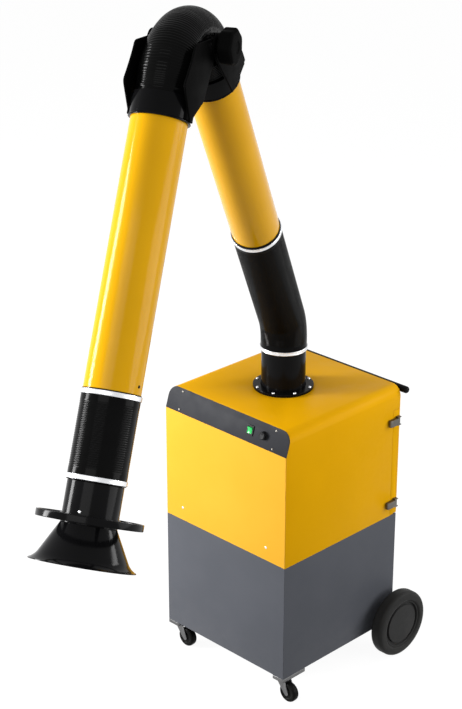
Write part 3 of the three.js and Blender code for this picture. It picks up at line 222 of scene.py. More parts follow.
class Draft:
    """A mesh under construction, in millimetres."""

    def __init__(self) -> None:
        """Starts with nothing drawn."""
        self.shape = bmesh.new()

    def add(self, part: BMesh, place: Matrix = STILL, bevel: float = 0.0, steps: int = 3) -> "Draft":
        """Adds a closed form to the draft.

        Args:
            part: The form, which is used up.
            place: Where it goes.
            bevel: Width of its rounded edges.
            steps: Pieces across a rounded edge.

        Returns:
            The draft.
        """
        bmesh.ops.recalc_face_normals(part, faces=part.faces[:])
        if bevel > 0:
            sharp = [e for e in part.edges if e.is_manifold and e.calc_face_angle(0.0) > BEVELLED]
            bmesh.ops.bevel(
                part, geom=sharp, offset=bevel, segments=steps, profile=0.5, affect="EDGES", clamp_overlap=True
            )
        part.transform(place)
        held = bpy.data.meshes.new("held")
        part.to_mesh(held)
        part.free()
        return self.merge(held)

    def merge(self, mesh: Mesh) -> "Draft":
        """Adds a mesh as it is.

        Args:
            mesh: The mesh, which is used up.

        Returns:
            The draft.
        """
        self.shape.from_mesh(mesh)
        bpy.data.meshes.remove(mesh)
        return self

    def lathe(self, outline: Sequence[Point], place: Matrix = STILL, sides: int = ROUND) -> "Draft":
        """Revolves a closed outline of radius and height about Z.

        Args:
            outline: Closed outline, whose points at radius zero become poles.
            place: Where the turned form goes.
            sides: Number of steps around.

        Returns:
            The draft.
        """
        part = bmesh.new()
        turns = [2 * math.pi * step / sides for step in range(sides)]
        rings = []
        for radius, height in outline:
            if radius < NOTHING:
                rings.append([part.verts.new((0, 0, height))] * sides)
            else:
                rings.append([part.verts.new((radius * math.cos(a), radius * math.sin(a), height)) for a in turns])
        for ring, following in zip(rings, [*rings[1:], rings[0]]):
            for step in range(sides):
                ahead = (step + 1) % sides
                corners = list(dict.fromkeys((ring[step], ring[ahead], following[ahead], following[step])))
                if len(corners) > 2:
                    part.faces.new(corners)
        return self.add(part, place)

    def block(self, x: Span, y: Span, z: Span, place: Matrix = STILL, bevel: float = 1.0) -> "Draft":
        """Adds a block with rounded edges.

        Args:
            x: Ends along X.
            y: Ends along Y.
            z: Ends along Z.
            place: Where it goes.
            bevel: Width of its rounded edges.

        Returns:
            The draft.
        """
        part = bmesh.new()
        bmesh.ops.create_cube(part, size=1.0)
        for vertex in part.verts:
            vertex.co = Vector([span[0] if value < 0 else span[1] for value, span in zip(vertex.co, (x, y, z))])
        return self.add(part, place, bevel)

    def prism(self, outline: Sequence[Point], y: Span, place: Matrix = STILL, bevel: float = 0.0) -> "Draft":
        """Adds an outline in X and Z with its thickness along Y.

        Args:
            outline: Closed outline.
            y: Ends of the thickness.
            place: Where it goes.
            bevel: Width of its rounded edges.

        Returns:
            The draft.
        """
        part = bmesh.new()
        near, far = ([part.verts.new((x, end, z)) for x, z in outline] for end in y)
        part.faces.new(near)
        part.faces.new(list(reversed(far)))
        for index in range(len(outline)):
            ahead = (index + 1) % len(outline)
            part.faces.new((near[index], near[ahead], far[ahead], far[index]))
        return self.add(part, place, bevel)

    def softened(self, node: str, bevel: float, steps: int) -> "Draft":
        """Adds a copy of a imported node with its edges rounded.

        Args:
            node: Name of the node, which itself is left as it is.
            bevel: Width of the rounded edges.
            steps: Pieces across a rounded edge.

        Returns:
            The draft.
        """
        part = bmesh.new()
        part.from_mesh(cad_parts[node].data)
        part.transform(Matrix.Scale(1 / MILLIMETRE, 4))
        bmesh.ops.remove_doubles(part, verts=part.verts[:], dist=MERGE)
        bmesh.ops.dissolve_limit(part, angle_limit=FLAT, verts=part.verts[:], edges=part.edges[:])
        return self.add(part, STILL, bevel, steps)

    def mesh(self) -> Mesh:
        """Turns the draft into a mesh and ends it.

        Returns:
            The mesh, in millimetres.
        """
        made = bpy.data.meshes.new("draft")
        self.shape.to_mesh(made)
        self.shape.free()
        return made


Form = Draft | Mesh


def meshed(form: Form) -> Mesh:
    """The mesh of a form, which ends a draft."""
    return form.mesh() if isinstance(form, Draft) else form


def settled(holder: Object) -> Mesh:
    """Applies an object's modifiers.

    Args:
        holder: The object, which is used up with its mesh.

    Returns:
        The plain mesh.
    """
    bpy.context.scene.collection.objects.link(holder)
    depsgraph = bpy.context.evaluated_depsgraph_get()
    made = bpy.data.meshes.new_from_object(holder.evaluated_get(depsgraph), depsgraph=depsgraph)
    used = holder.data
    bpy.data.objects.remove(holder)
    bpy.data.meshes.remove(used)
    return made


def carved(base: Draft, tools: Iterable[Draft]) -> Draft:
    """Cuts forms out of a draft.

    Args:
        base: The draft to cut, which is used up.
        tools: Forms that are taken away, which are used up.

    Returns:
        A new draft.
    """
    body = bpy.data.objects.new("carved", base.mesh())
    helpers = [bpy.data.objects.new("cutter", tool.mesh()) for tool in tools]
    for helper in helpers:
        bpy.context.scene.collection.objects.link(helper)
        modifier = body.modifiers.new("cut", "BOOLEAN")
        modifier.operation, modifier.solver, modifier.object = "DIFFERENCE", "EXACT", helper
    result = settled(body)
    for helper in helpers:
        bpy.data.objects.remove(helper)
    part = bmesh.new()
    part.from_mesh(result)
    bpy.data.meshes.remove(result)
    bmesh.ops.remove_doubles(part, verts=part.verts[:], dist=MERGE)
    return Draft().add(part, STILL, CUT_BEVEL, 2)


# Node trees


class Nodes:
    """A node tree under construction."""

    def __init__(self, tree: NodeTree) -> None:
        """Takes up a tree."""
        self.tree = tree

    def node(self, kind: str, settings: dict[str, Any] | None = None, **inputs: Any) -> Node:
        """Adds a node.

        Args:
            kind: Type of the node.
            settings: Its properties.
            **inputs: Its inputs by name, with _ for a space, each a socket to link or a plain value.

        Returns:
            The node.
        """
        made = self.tree.nodes.new(kind)
        for key, value in (settings or {}).items():
            setattr(made, key, value)
        for key, value in inputs.items():
            self.feed(made, key.replace("_", " "), value)
        return made

    def feed(self, node: Node, name: str | int, value: Any) -> None:
        """Sets or links one input of a node.

        Args:
            node: The node.
            name: Name or index of its input.
            value: A socket to link or a plain value.
        """
        if isinstance(value, NodeSocket):
            self.tree.links.new(value, node.inputs[name])
        else:
            node.inputs[name].default_value = value

    def joined(self, kind: str, operation: str | None, first: Any, second: Any) -> Node:
        """Adds a node that works on two values.

        Args:
            kind: Type of the node.
            operation: What it does, where it has a choice.
            first: Its first value.
            second: Its second value.

        Returns:
            The node.
        """
        made = self.node(kind, {"operation": operation} if operation else None)
        self.feed(made, 0, first)
        self.feed(made, 1, second)
        return made

    def maths(self, operation: str, first: Any, second: Any = 0.0) -> NodeSocket:
        """Adds one step of arithmetic and returns its result."""
        return self.joined("ShaderNodeMath", operation, first, second).outputs[0]

    def ranged(self, value: Any, start: Any, end: Any, low: Any = 0.0, high: Any = 1.0) -> NodeSocket:
        """Adds a smooth, clamped change of range.

        Args:
            value: The value to change.
            start: Where the range starts.
            end: Where the range ends.
            low: Result at the start.
            high: Result at the end.

        Returns:
            The changed value.
        """
        made = self.node(
            "ShaderNodeMapRange", {"interpolation_type": "SMOOTHSTEP"}, Value=value, From_Min=start, From_Max=end,
            To_Min=low, To_Max=high
        )
        return made.outputs["Result"]


class Group(Nodes):
    """A node group under construction."""

    def __init__(self, name: str, kind: str = "ShaderNodeTree") -> None:
        """Starts an empty group.

        Args:
            name: Name of the group.
            kind: Type of its tree.
        """
        super().__init__(bpy.data.node_groups.new(name, kind))
        self.source = self.tree.nodes.new("NodeGroupInput")
        self.sink = self.tree.nodes.new("NodeGroupOutput")

    def takes(self, name: str, kind: str, value: Any = None) -> NodeSocket:
        """Adds a named input.

        Args:
            name: Name of the input.
            kind: Type of its socket, such as Float, Color or Vector.
            value: Its usual value.

        Returns:
            The socket that carries the input inside the group.
        """
        item = self.tree.interface.new_socket(name, in_out="INPUT", socket_type="NodeSocket" + kind)
        if value is not None:
            item.default_value = value
        return self.source.outputs[name]

    def gives(self, name: str, kind: str, socket: NodeSocket) -> None:
        """Adds a named output that carries a socket."""
        self.tree.interface.new_socket(name, in_out="OUTPUT", socket_type="NodeSocket" + kind)
        self.tree.links.new(socket, self.sink.inputs[name])

    def noise(self, position: Any, scale: Any, detail: float) -> NodeSocket:
        """Adds a noise and returns its value."""
        return self.node("ShaderNodeTexNoise", Vector=position, Scale=scale, Detail=detail).outputs["Fac"]

    def patches(self, position: Any, scale: Any, detail: float, low: float, high: float) -> NodeSocket:
        """Adds a noise parted into patches of 0 and 1 and returns it."""
        return self.ranged(self.noise(position, scale, detail), low, high)

    def mixed(self, share: Any, first: Any, second: Any) -> NodeSocket:
        """Adds a mix of two colours.

        Args:
            share: Share of the second colour.
            first: First colour.
            second: Second colour.

        Returns:
            The mixed colour.
        """
        made = self.node("ShaderNodeMix", {"data_type": "RGBA"})
        for slot, value in ((0, share), (6, first), (7, second)):
            self.feed(made, slot, value)
        return made.outputs[2]


def skin_group() -> NodeTree:
    """Paint, moulding and rubber: soft mottling of colour and gloss with a fine grain.

    Returns:
        The group.
    """
    group = Group("surface_skin")
    position = group.takes("Position", "Vector")
    colour, shade = (group.takes(name, "Color") for name in ("Colour", "Shade"))
    mottle = group.takes("Mottle Scale", "Float", 6.0)
    grain = group.takes("Grain Scale", "Float", 700.0)
    low = group.takes("Low Roughness", "Float", 0.2)
    high = group.takes("High Roughness", "Float", 0.3)
    wiped = group.noise(position, group.maths("MULTIPLY", mottle, 4.3), detail=3.0)
    clouds = group.patches(position, mottle, detail=4.0, low=0.3, high=0.7)
    group.gives("Colour", "Color", group.mixed(clouds, colour, shade))
    group.gives("Roughness", "Float", group.ranged(wiped, 0.3, 0.72, low=low, high=high))
    group.gives("Height", "Float", group.noise(position, grain, detail=2.0))
    return group.tree


def stroke_group() -> NodeTree:
    """Plated and plain metal: fine strokes along one direction with duller patches.

    Returns:
        The group.
    """
    group = Group("metal_strokes")
    position = group.takes("Position", "Vector")
    stretch = group.takes("Stretch", "Vector", (900.0, 900.0, 40.0))
    colour, shade = (group.takes(name, "Color") for name in ("Colour", "Shade"))
    low = group.takes("Low Roughness", "Float", 0.2)
    high = group.takes("High Roughness", "Float", 0.4)
    pulled = group.joined("ShaderNodeVectorMath", "MULTIPLY", position, stretch)
    strokes = group.noise(pulled.outputs[0], scale=1.0, detail=2.0)
    patches = group.patches(position, scale=35.0, detail=4.0, low=0.35, high=0.65)
    group.gives("Colour", "Color", group.mixed(patches, colour, shade))
    group.gives("Roughness", "Float", group.ranged(strokes, 0.3, 0.7, low=low, high=high))
    group.gives("Height", "Float", strokes)
    return group.tree


def floor_dust_group() -> NodeTree:
    """A thin pale dust that thickens towards the floor.

    Returns:
        The group.
    """
    group = Group("floor_dust")
    position = group.takes("Position", "Vector")
    colour = group.takes("Colour", "Color")
    dust = group.takes("Dust", "Color", (0.3, 0.28, 0.25, 1.0))
    reach = group.takes("Reach", "Float", 0.3)
    amount = group.takes("Amount", "Float", 0.1)
    parted = group.node("ShaderNodeSeparateXYZ", Vector=position)
    height = group.ranged(parted.outputs[2], 0.0, reach, low=1.0, high=0.0)
    patchy = group.ranged(group.noise(position, scale=28.0, detail=5.0), 0.35, 0.75, low=0.2)
    mask = group.maths("MULTIPLY", group.maths("MULTIPLY", height, patchy), amount)
    group.gives("Colour", "Color", group.mixed(mask, colour, dust))
    group.gives("Mask", "Float", mask)
    return group.tree


def edge_group() -> NodeTree:
    """Lighter edges from how sharply the surface turns: partly a painted highlight along sharp edges, partly slight
    rubbing.

    Returns:
        The group.
    """
    group = Group("rubbed_edges")
    sharpness = group.takes("Sharpness", "Float", 0.5)
    position = group.takes("Position", "Vector")
    colour, wear_and_highlight = (group.takes(name, "Color") for name in ("Colour", "Rubbed"))
    amount = group.takes("Amount", "Float", 0.2)
    broken = group.patches(position, scale=60.0, detail=4.0, low=0.4, high=0.65)
    edges = group.ranged(sharpness, 0.54, 0.66, high=amount)
    group.gives("Colour", "Color", group.mixed(group.maths("MULTIPLY", edges, broken), colour, wear_and_highlight))
    return group.tree


GROUPS = {tree.name: tree for tree in (skin_group(), stroke_group(), floor_dust_group(), edge_group())}


# Finishes


@dataclass(frozen=True)
class Finish:
    """A painted, moulded or rubber surface."""

    slot: Slot
    colour: Triple
    shade: Triple
    roughness: Span
    specular: float = 0.4
    mottle: float = 5.0
    grain: float = 700.0
    bump: float = 0.05
    depth: float = 0.0002
    # Lift and gain of the lighter edge colour: a painted highlight on sharp edges with slight rubbing
    edge_wear_and_highlight_lift: float = 0.06
    edge_wear_and_highlight_gain: float = 1.25
    edge: float = 0.15
    dust: float = 0.0
    glow: float = 0.0
    variant: str = ""
    pattern: ClassVar[str] = "surface_skin"
    metallic: ClassVar[float] = 0.0

    def pattern_inputs(self) -> dict[str, Any]:
        """Inputs that only this finish's pattern has."""
        return {"Mottle_Scale": self.mottle, "Grain_Scale": self.grain}

    def material(self) -> Material:
        """Builds the material, or finds it where it is built already.

        Returns:
            The material.
        """
        name = "finish_" + self.slot.value + self.variant
        if name in bpy.data.materials:
            return bpy.data.materials[name]
        made = bpy.data.materials.new(name)
        made.use_nodes = True
        nodes = Nodes(made.node_tree)
        place = nodes.node("ShaderNodeTexCoord").outputs["Object"]
        base = nodes.node(
            "ShaderNodeGroup", {"node_tree": GROUPS[self.pattern]}, Position=place, Colour=(*self.colour, 1.0),
            Shade=(*self.shade, 1.0), Low_Roughness=self.roughness[0], High_Roughness=self.roughness[1],
            **self.pattern_inputs()
        )
        # Lighter sharp edges: a painted highlight with slight rubbing
        edges = nodes.node(
            "ShaderNodeGroup", {"node_tree": GROUPS["rubbed_edges"]}, Position=place, Amount=self.edge,
            Sharpness=nodes.node("ShaderNodeNewGeometry").outputs["Pointiness"], Colour=base.outputs["Colour"],
            Rubbed=(*(min(1.0, self.edge_wear_and_highlight_lift + self.edge_wear_and_highlight_gain * part) for part in self.colour), 1.0)
        )
        dust = nodes.node(
            "ShaderNodeGroup", {"node_tree": GROUPS["floor_dust"]}, Position=place, Amount=self.dust,
            Colour=edges.outputs["Colour"]
        )
        bump = nodes.node(
            "ShaderNodeBump", Strength=self.bump, Distance=self.depth, Height=base.outputs["Height"]
        )
        looks = {
            "Base Color": dust.outputs["Colour"], "Roughness": base.outputs["Roughness"],
            "Normal": bump.outputs["Normal"], "Metallic": self.metallic, "Specular IOR Level": self.specular
        }
        if self.glow > 0:
            looks |= {"Emission Color": base.outputs["Colour"], "Emission Strength": self.glow}
        for socket, value in looks.items():
            nodes.feed(made.node_tree.nodes["Principled BSDF"], socket, value)
        return made


@dataclass(frozen=True)
class MetalFinish(Finish):
    """A plated or plain metal surface with drawn strokes."""

    stretch: Triple = (900.0, 900.0, 60.0)
    pattern: ClassVar[str] = "metal_strokes"
    metallic: ClassVar[float] = 0.9

    def pattern_inputs(self) -> dict[str, Any]:
        """Inputs that only this finish's pattern has."""
        return {"Stretch": self.stretch}


YELLOW = Finish(
    Slot.YELLOW_PAINT, (0.86, 0.43, 0.002), (0.83, 0.412, 0.0017), (0.36, 0.44), specular=0.03, grain=420.0, bump=0.03,
    edge=0.05
)
# Paler copy of the yellow paint for the brightly lit front cover: a painted highlight, with blue added to stand in for
# the glare on that face
YELLOW_COVER_PAINTED_HIGHLIGHT = replace(YELLOW, colour=(0.86, 0.445, 0.042), shade=(0.83, 0.427, 0.037), variant="_cover")
YELLOW_TUBE = replace(
    YELLOW, slot=Slot.YELLOW_TUBE, colour=(0.84, 0.43, 0.002), shade=(0.81, 0.412, 0.0017), roughness=(0.12, 0.18),
    specular=0.11, bump=0.02
)
GREY = Finish(
    Slot.GREY_PAINT, (0.092, 0.097, 0.112), (0.085, 0.09, 0.104), (0.4, 0.5), specular=0.08, grain=500.0, bump=0.06,
    dust=0.06
)
PANEL = Finish(
    Slot.PANEL_PAINT, (0.03, 0.031, 0.036), (0.027, 0.028, 0.033), (0.4, 0.5), specular=0.06, grain=800.0, edge=0.08
)
BLACK_PAINT = Finish(
    Slot.BLACK_PAINT, (0.0045, 0.0045, 0.0049), (0.0035, 0.0035, 0.0039), (0.12, 0.17), specular=0.065, edge=0.03,
    bump=0.02
)
COLLAR = replace(
    BLACK_PAINT, colour=(0.0042, 0.0042, 0.0046), shade=(0.0032, 0.0032, 0.0036), roughness=(0.1, 0.14), specular=0.05,
    edge=0.02, variant="_collar"
)
BLACK_PLASTIC = Finish(
    Slot.BLACK_PLASTIC, (0.0046, 0.0046, 0.0046), (0.0036, 0.0036, 0.0036), (0.36, 0.46), specular=0.003, grain=1100.0,
    edge=0.02, bump=0.03
)
SWITCH = Finish(
    Slot.SWITCH_PLASTIC, (0.012, 0.012, 0.013), (0.009, 0.009, 0.01), (0.42, 0.55), specular=0.14, grain=1500.0,
    bump=0.12, edge=0.05
)
GREEN = Finish(
    Slot.GREEN_LENS, (0.02, 0.5, 0.1), (0.014, 0.42, 0.08), (0.12, 0.2), mottle=60.0, glow=0.12, bump=0.02
)
RUBBER = Finish(
    Slot.RUBBER, (0.026, 0.026, 0.0255), (0.022, 0.022, 0.0215), (0.45, 0.58), specular=0.07, mottle=14.0, grain=900.0,
    bump=0.12, dust=0.03, edge=0.03
)
CASTOR_TREAD = replace(
    RUBBER, colour=(0.0045, 0.0045, 0.0045), shade=(0.0036, 0.0036, 0.0036), roughness=(0.24, 0.34), specular=0.04,
    bump=0.05, dust=0.02, edge=0.02, variant="_castor"
)
WHEEL_DISC = Finish(
    Slot.WHEEL_DISC, (0.035, 0.035, 0.035), (0.031, 0.031, 0.031), (0.45, 0.56), specular=0.05, mottle=12.0,
    grain=1300.0, bump=0.1, dust=0.03, edge=0.06
)
HOSE = Finish(
    Slot.HOSE, (0.0032, 0.0032, 0.0032), (0.0025, 0.0025, 0.0025), (0.12, 0.17), specular=0.045, mottle=24.0,
    grain=900.0, bump=0.03, edge=0.0
)
ZINC = MetalFinish(Slot.ZINC, (0.82, 0.83, 0.85), (0.74, 0.75, 0.77), (0.22, 0.36), specular=0.5, bump=0.04, edge=0.08)
ALLOY = MetalFinish(
    Slot.ALLOY, (0.42, 0.42, 0.43), (0.34, 0.34, 0.35), (0.3, 0.45), specular=0.5, bump=0.06, edge=0.1, dust=0.03
)
LATCH = replace(
    ALLOY, colour=(0.135, 0.125, 0.112), shade=(0.105, 0.098, 0.088), roughness=(0.3, 0.42), specular=0.3, bump=0.05,
    edge=0.12, dust=0.0, variant="_latch"
)
CASTOR_STEEL = replace(
    ALLOY, colour=(0.15, 0.15, 0.152), shade=(0.12, 0.12, 0.122), roughness=(0.38, 0.5), specular=0.3, bump=0.05,
    variant="_castor"
)
FILTER = Finish(
    Slot.FILTER_MEDIA, (0.72, 0.69, 0.6), (0.6, 0.57, 0.48), (0.8, 0.9), specular=0.15, mottle=9.0, grain=1800.0,
    bump=0.3
)


# Geometry Nodes


class Growth(Group):
    """A Geometry Nodes tree under construction, which takes a form and gives a geometry."""

    def __init__(self, name: str) -> None:
        """Starts a tree under its name."""
        super().__init__(name, "GeometryNodeTree")
        self.form = self.takes("Geometry", "Geometry")

    def copies(self, points: NodeSocket, **inputs: Any) -> NodeSocket:
        """Sets a copy of the form on each point and returns the copies."""
        return self.node("GeometryNodeInstanceOnPoints", Points=points, Instance=self.form, **inputs).outputs[0]

    def ends(self, geometry: NodeSocket) -> NodeTree:
        """Realises the result, gives it its material and closes the tree.

        Args:
            geometry: The geometry that the tree makes.

        Returns:
            The finished tree.
        """
        finish = self.takes("Material", "Material")
        whole = self.node("GeometryNodeRealizeInstances", Geometry=geometry)
        dressed = self.node("GeometryNodeSetMaterial", Geometry=whole.outputs[0], Material=finish)
        self.gives("Geometry", "Geometry", dressed.outputs[0])
        return self.tree


def hose_tree() -> NodeTree:
    """A ribbed hose that follows its path, with a plain cuff at each end.

    Returns:
        The tree, whose form is the path.
    """
    grow = Growth("ribbed_hose")
    crest, depth, pitch, cuff, inset, length = (
        grow.takes(name, "Float")
        for name in ("Crest Radius", "Rib Depth", "Rib Pitch", "Cuff Length", "Cuff Inset", "Length")
    )
    rings, sides = (grow.takes(name, "Int") for name in ("Rings", "Sides"))
    path = grow.node("GeometryNodeMeshToCurve", Mesh=grow.form)
    even = grow.node("GeometryNodeResampleCurve", Curve=path.outputs[0], Count=rings)
    along = grow.node("GeometryNodeSplineParameter").outputs["Length"]
    kept = grow.node(
        "GeometryNodeStoreNamedAttribute", {"data_type": "FLOAT", "domain": "POINT"}, Geometry=even.outputs[0],
        Name="along", Value=along
    )
    profile = grow.node("GeometryNodeCurvePrimitiveCircle", Resolution=sides, Radius=crest)
    tube = grow.node("GeometryNodeCurveToMesh", Curve=kept.outputs[0], Profile_Curve=profile.outputs[0])
    place = grow.node("GeometryNodeInputNamedAttribute", {"data_type": "FLOAT"}, Name="along").outputs["Attribute"]
    turn = grow.maths("DIVIDE", grow.maths("SUBTRACT", place, cuff), pitch)
    wave = grow.maths("ABSOLUTE", grow.maths("SINE", grow.maths("MULTIPLY", turn, math.pi)))
    groove = grow.maths("MULTIPLY", depth, grow.maths("SUBTRACT", 1.0, wave))
    fade = 3.0
    first, last = (
        grow.ranged(from_end, grow.maths("SUBTRACT", cuff, fade), grow.maths("ADD", cuff, fade))
        for from_end in (place, grow.maths("SUBTRACT", length, place))
    )
    ribbed = grow.maths("MULTIPLY", first, last)
    plain = grow.maths("MULTIPLY", inset, grow.maths("SUBTRACT", 1.0, ribbed))
    drop = grow.maths("ADD", grow.maths("MULTIPLY", groove, ribbed), plain)
    outward = grow.node("GeometryNodeInputNormal").outputs[0]
    inward = grow.node("ShaderNodeVectorMath", {"operation": "SCALE"}, Scale=grow.maths("MULTIPLY", drop, -1.0))
    grow.feed(inward, 0, outward)
    shaped = grow.node("GeometryNodeSetPosition", Geometry=tube.outputs[0], Offset=inward.outputs[0])
    return grow.ends(shaped.outputs[0])


def ring_tree() -> NodeTree:
    """Copies of one form set round a circle, each turned to face outwards.

    Returns:
        The tree.
    """
    grow = Growth("set_round_a_circle")
    count = grow.takes("Count", "Int")
    radius, phase = (grow.takes(name, "Float") for name in ("Circle Radius", "Phase"))
    index = grow.node("GeometryNodeInputIndex").outputs[0]
    angle = grow.maths("MULTIPLY", index, grow.maths("DIVIDE", 2 * math.pi, count))
    across, up = (grow.maths("MULTIPLY", radius, grow.maths(wave, angle)) for wave in ("COSINE", "SINE"))
    spot = grow.node("ShaderNodeCombineXYZ", X=across, Y=up)
    circle = grow.node("GeometryNodePoints", Count=count, Position=spot.outputs[0])
    turn, whole = (grow.node("ShaderNodeCombineXYZ", Z=turned).outputs[0] for turned in (angle, phase))
    copies = grow.copies(circle.outputs[0], Rotation=turn)
    return grow.ends(grow.node("GeometryNodeTransform", Geometry=copies, Rotation=whole).outputs[0])


def grid_tree() -> NodeTree:
    """Copies of one form at the crossings of a grid in X and Y.

    Returns:
        The tree.
    """
    grow = Growth("set_on_a_grid")
    columns, rows = (grow.takes(name, "Int") for name in ("Columns", "Rows"))
    width, height = (grow.takes(name, "Float") for name in ("Width", "Height"))
    grid = grow.node("GeometryNodeMeshGrid", Size_X=width, Size_Y=height, Vertices_X=columns, Vertices_Y=rows)
    return grow.ends(grow.copies(grid.outputs[0]))


TREES = {tree.name: tree for tree in (hose_tree(), ring_tree(), grid_tree())}


def grown(tree: str, form: Form, finish: Finish, **values: Any) -> Mesh:
    """Runs a Geometry Nodes tree and keeps its result as a plain mesh.

    Args:
        tree: Name of the tree.
        form: The tree's form, which is used up.
        finish: Finish of the result.
        **values: The tree's inputs by name, with _ for a space.

    Returns:
        The plain mesh.
    """
    holder = bpy.data.objects.new(tree, meshed(form))
    modifier = holder.modifiers.new(tree, "NODES")
    modifier.node_group = TREES[tree]
    given = {key.replace("_", " "): value for key, value in values.items()} | {"Material": finish.material()}
    for item in TREES[tree].interface.items_tree:
        if item.in_out == "INPUT" and item.name in given:
            modifier[item.identifier] = given[item.name]
    return settled(holder)


def ring_of(form: Form, finish: Finish, count: int, radius: float, phase: float = 0.0) -> Mesh:
    """Copies of a form round a circle, the first at an angle of phase radians."""
    return grown("set_round_a_circle", form, finish, Count=count, Circle_Radius=radius, Phase=phase)


def grid_of(form: Form, finish: Finish, columns: int, rows: int, size: Point) -> Mesh:
    """Copies of a form in columns and rows over a field of the given size."""
    return grown("set_on_a_grid", form, finish, Columns=columns, Rows=rows, Width=size[0], Height=size[1])


# Pieces


def piece(
    name: str,
    form: Form,
    place: Matrix,
    body: Body | None,
    finish: Finish,
    replaces: Sequence[str] = (),
    angle: float = SHARP,
) -> Object:
    """Puts a form in the shared frame, dresses it and lets it ride on its body.

    Args:
        name: Name of the piece.
        form: The form, in millimetres.
        place: Its place, in millimetres.
        body: Body that it rides on, or None where it bends between two bodies.
        finish: Its finish.
        replaces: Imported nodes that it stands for.
        angle: Edges that turn by more than this many degrees stay sharp.

    Returns:
        The piece's object.
    """
    mesh = meshed(form)
    mesh.transform(Matrix.Scale(MILLIMETRE, 4) @ place)
    mesh.name = name
    mesh.materials.clear()
    mesh.materials.append(finish.material())
    mesh.polygons.foreach_set("use_smooth", [True] * len(mesh.polygons))
    mesh.polygons.foreach_set("material_index", [0] * len(mesh.polygons))
    mesh.set_sharp_from_angle(angle=math.radians(angle))
    mesh.update()
    made = bpy.data.objects.new(name, mesh)
    bpy.context.scene.collection.objects.link(made)
    if replaces:
        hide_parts(*replaces)
    if body is not None:
        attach(made, body.value)
    log.info("%s: %d faces, %s", name, len(mesh.polygons), body.value if body else "bends between two bodies")
    return made


def recast(
    name: str, node: str, body: Body, finish: Finish, bevel: float, steps: int = 2, angle: float = SHARP
) -> None:
    """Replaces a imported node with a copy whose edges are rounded."""
    piece(name, Draft().softened(node, bevel, steps), STILL, body, finish, [node], angle)


def dress(finish: Finish, *nodes: str) -> None:
    """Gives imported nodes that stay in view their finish.

    Args:
        finish: The finish.
        *nodes: Names of the nodes.
    """
    for node in nodes:
        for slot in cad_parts[node].material_slots:
            slot.material = finish.material()
        log.info("%s: packed node with a new finish", node)


def screw_head(radius: float, height: float, place: Matrix = STILL) -> Draft:
    """A domed screw head with a cross recess.

    Args:
        radius: Radius of the head.
        height: Height of the head above the plane that it stands on.
        place: Where it goes.

    Returns:
        The head.
    """
    slot, reach = radius * 0.13, radius * 0.62
    dome = [(0.0, height * 0.78), (radius * 0.3, height)]
    dome += bowed((radius * 0.3, height), (radius * 0.9, height), (radius, height * 0.25), steps=6)
    dome += [(radius, -height * 0.6), (0.0, -height * 0.6)]
    draft = Draft().lathe(dome, place, HEAD_ROUND)
    for across, along in ((reach, slot), (slot, reach)):
        draft.block(both(across), both(along), (height * 0.3, height * 0.93), place, bevel=0.0)
    return draft


@dataclass(frozen=True)
class Places:
    """Frames of the bodies in the pose of the photograph, and lengths that meet at the arm's joints, in millimetres."""

    heading: float = -64.8
    lean: float = 34.46
    elbow_angle: float = 63.49
    tilt_height: float = 1313.5
    elbow_along: float = 1527.0
    elbow_offset: float = 88.0
    hood_along: float = 1138.0
    tilt_to_tube: float = 558.0
    tube_to_elbow: float = 205.0
    hood_to_neck: float = 126.0

    @property
    def cabinet(self) -> Matrix:
        """The cabinet's frame: floor height, middle of its sides, front towards -Y."""
        middle = sum(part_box("base_cabinet"), Vector()) / 2 / MILLIMETRE
        return moved(middle.x, middle.y)

    @property
    def swivel(self) -> Matrix:
        """The arm foot's frame, turned to the arm's heading."""
        return self.cabinet @ Matrix.Rotation(math.radians(self.heading), 4, "Z")

    @property
    def inner(self) -> Matrix:
        """The inner arm's frame, with Z along its tube."""
        return self.swivel @ moved(z=self.tilt_height) @ Matrix.Rotation(math.radians(self.lean), 4, "Y")

    @property
    def elbow(self) -> Matrix:
        """The elbow pivot's frame on the inner arm."""
        return self.inner @ moved(x=self.elbow_offset, z=self.elbow_along)

    @property
    def turn(self) -> float:
        """How far the elbow turns the arm, in radians."""
        return math.pi - math.radians(self.elbow_angle)

    @property
    def outer(self) -> Matrix:
        """The elbow pivot's frame on the outer arm."""
        return self.elbow @ Matrix.Rotation(self.turn, 4, "Y")

    @property
    def outer_tube(self) -> Matrix:
        """The outer tube's own axis."""
        return self.outer @ moved(x=-self.elbow_offset)

    @property
    def hood(self) -> Matrix:
        """The hood pivot's frame."""
        return self.outer_tube @ moved(z=self.hood_along)


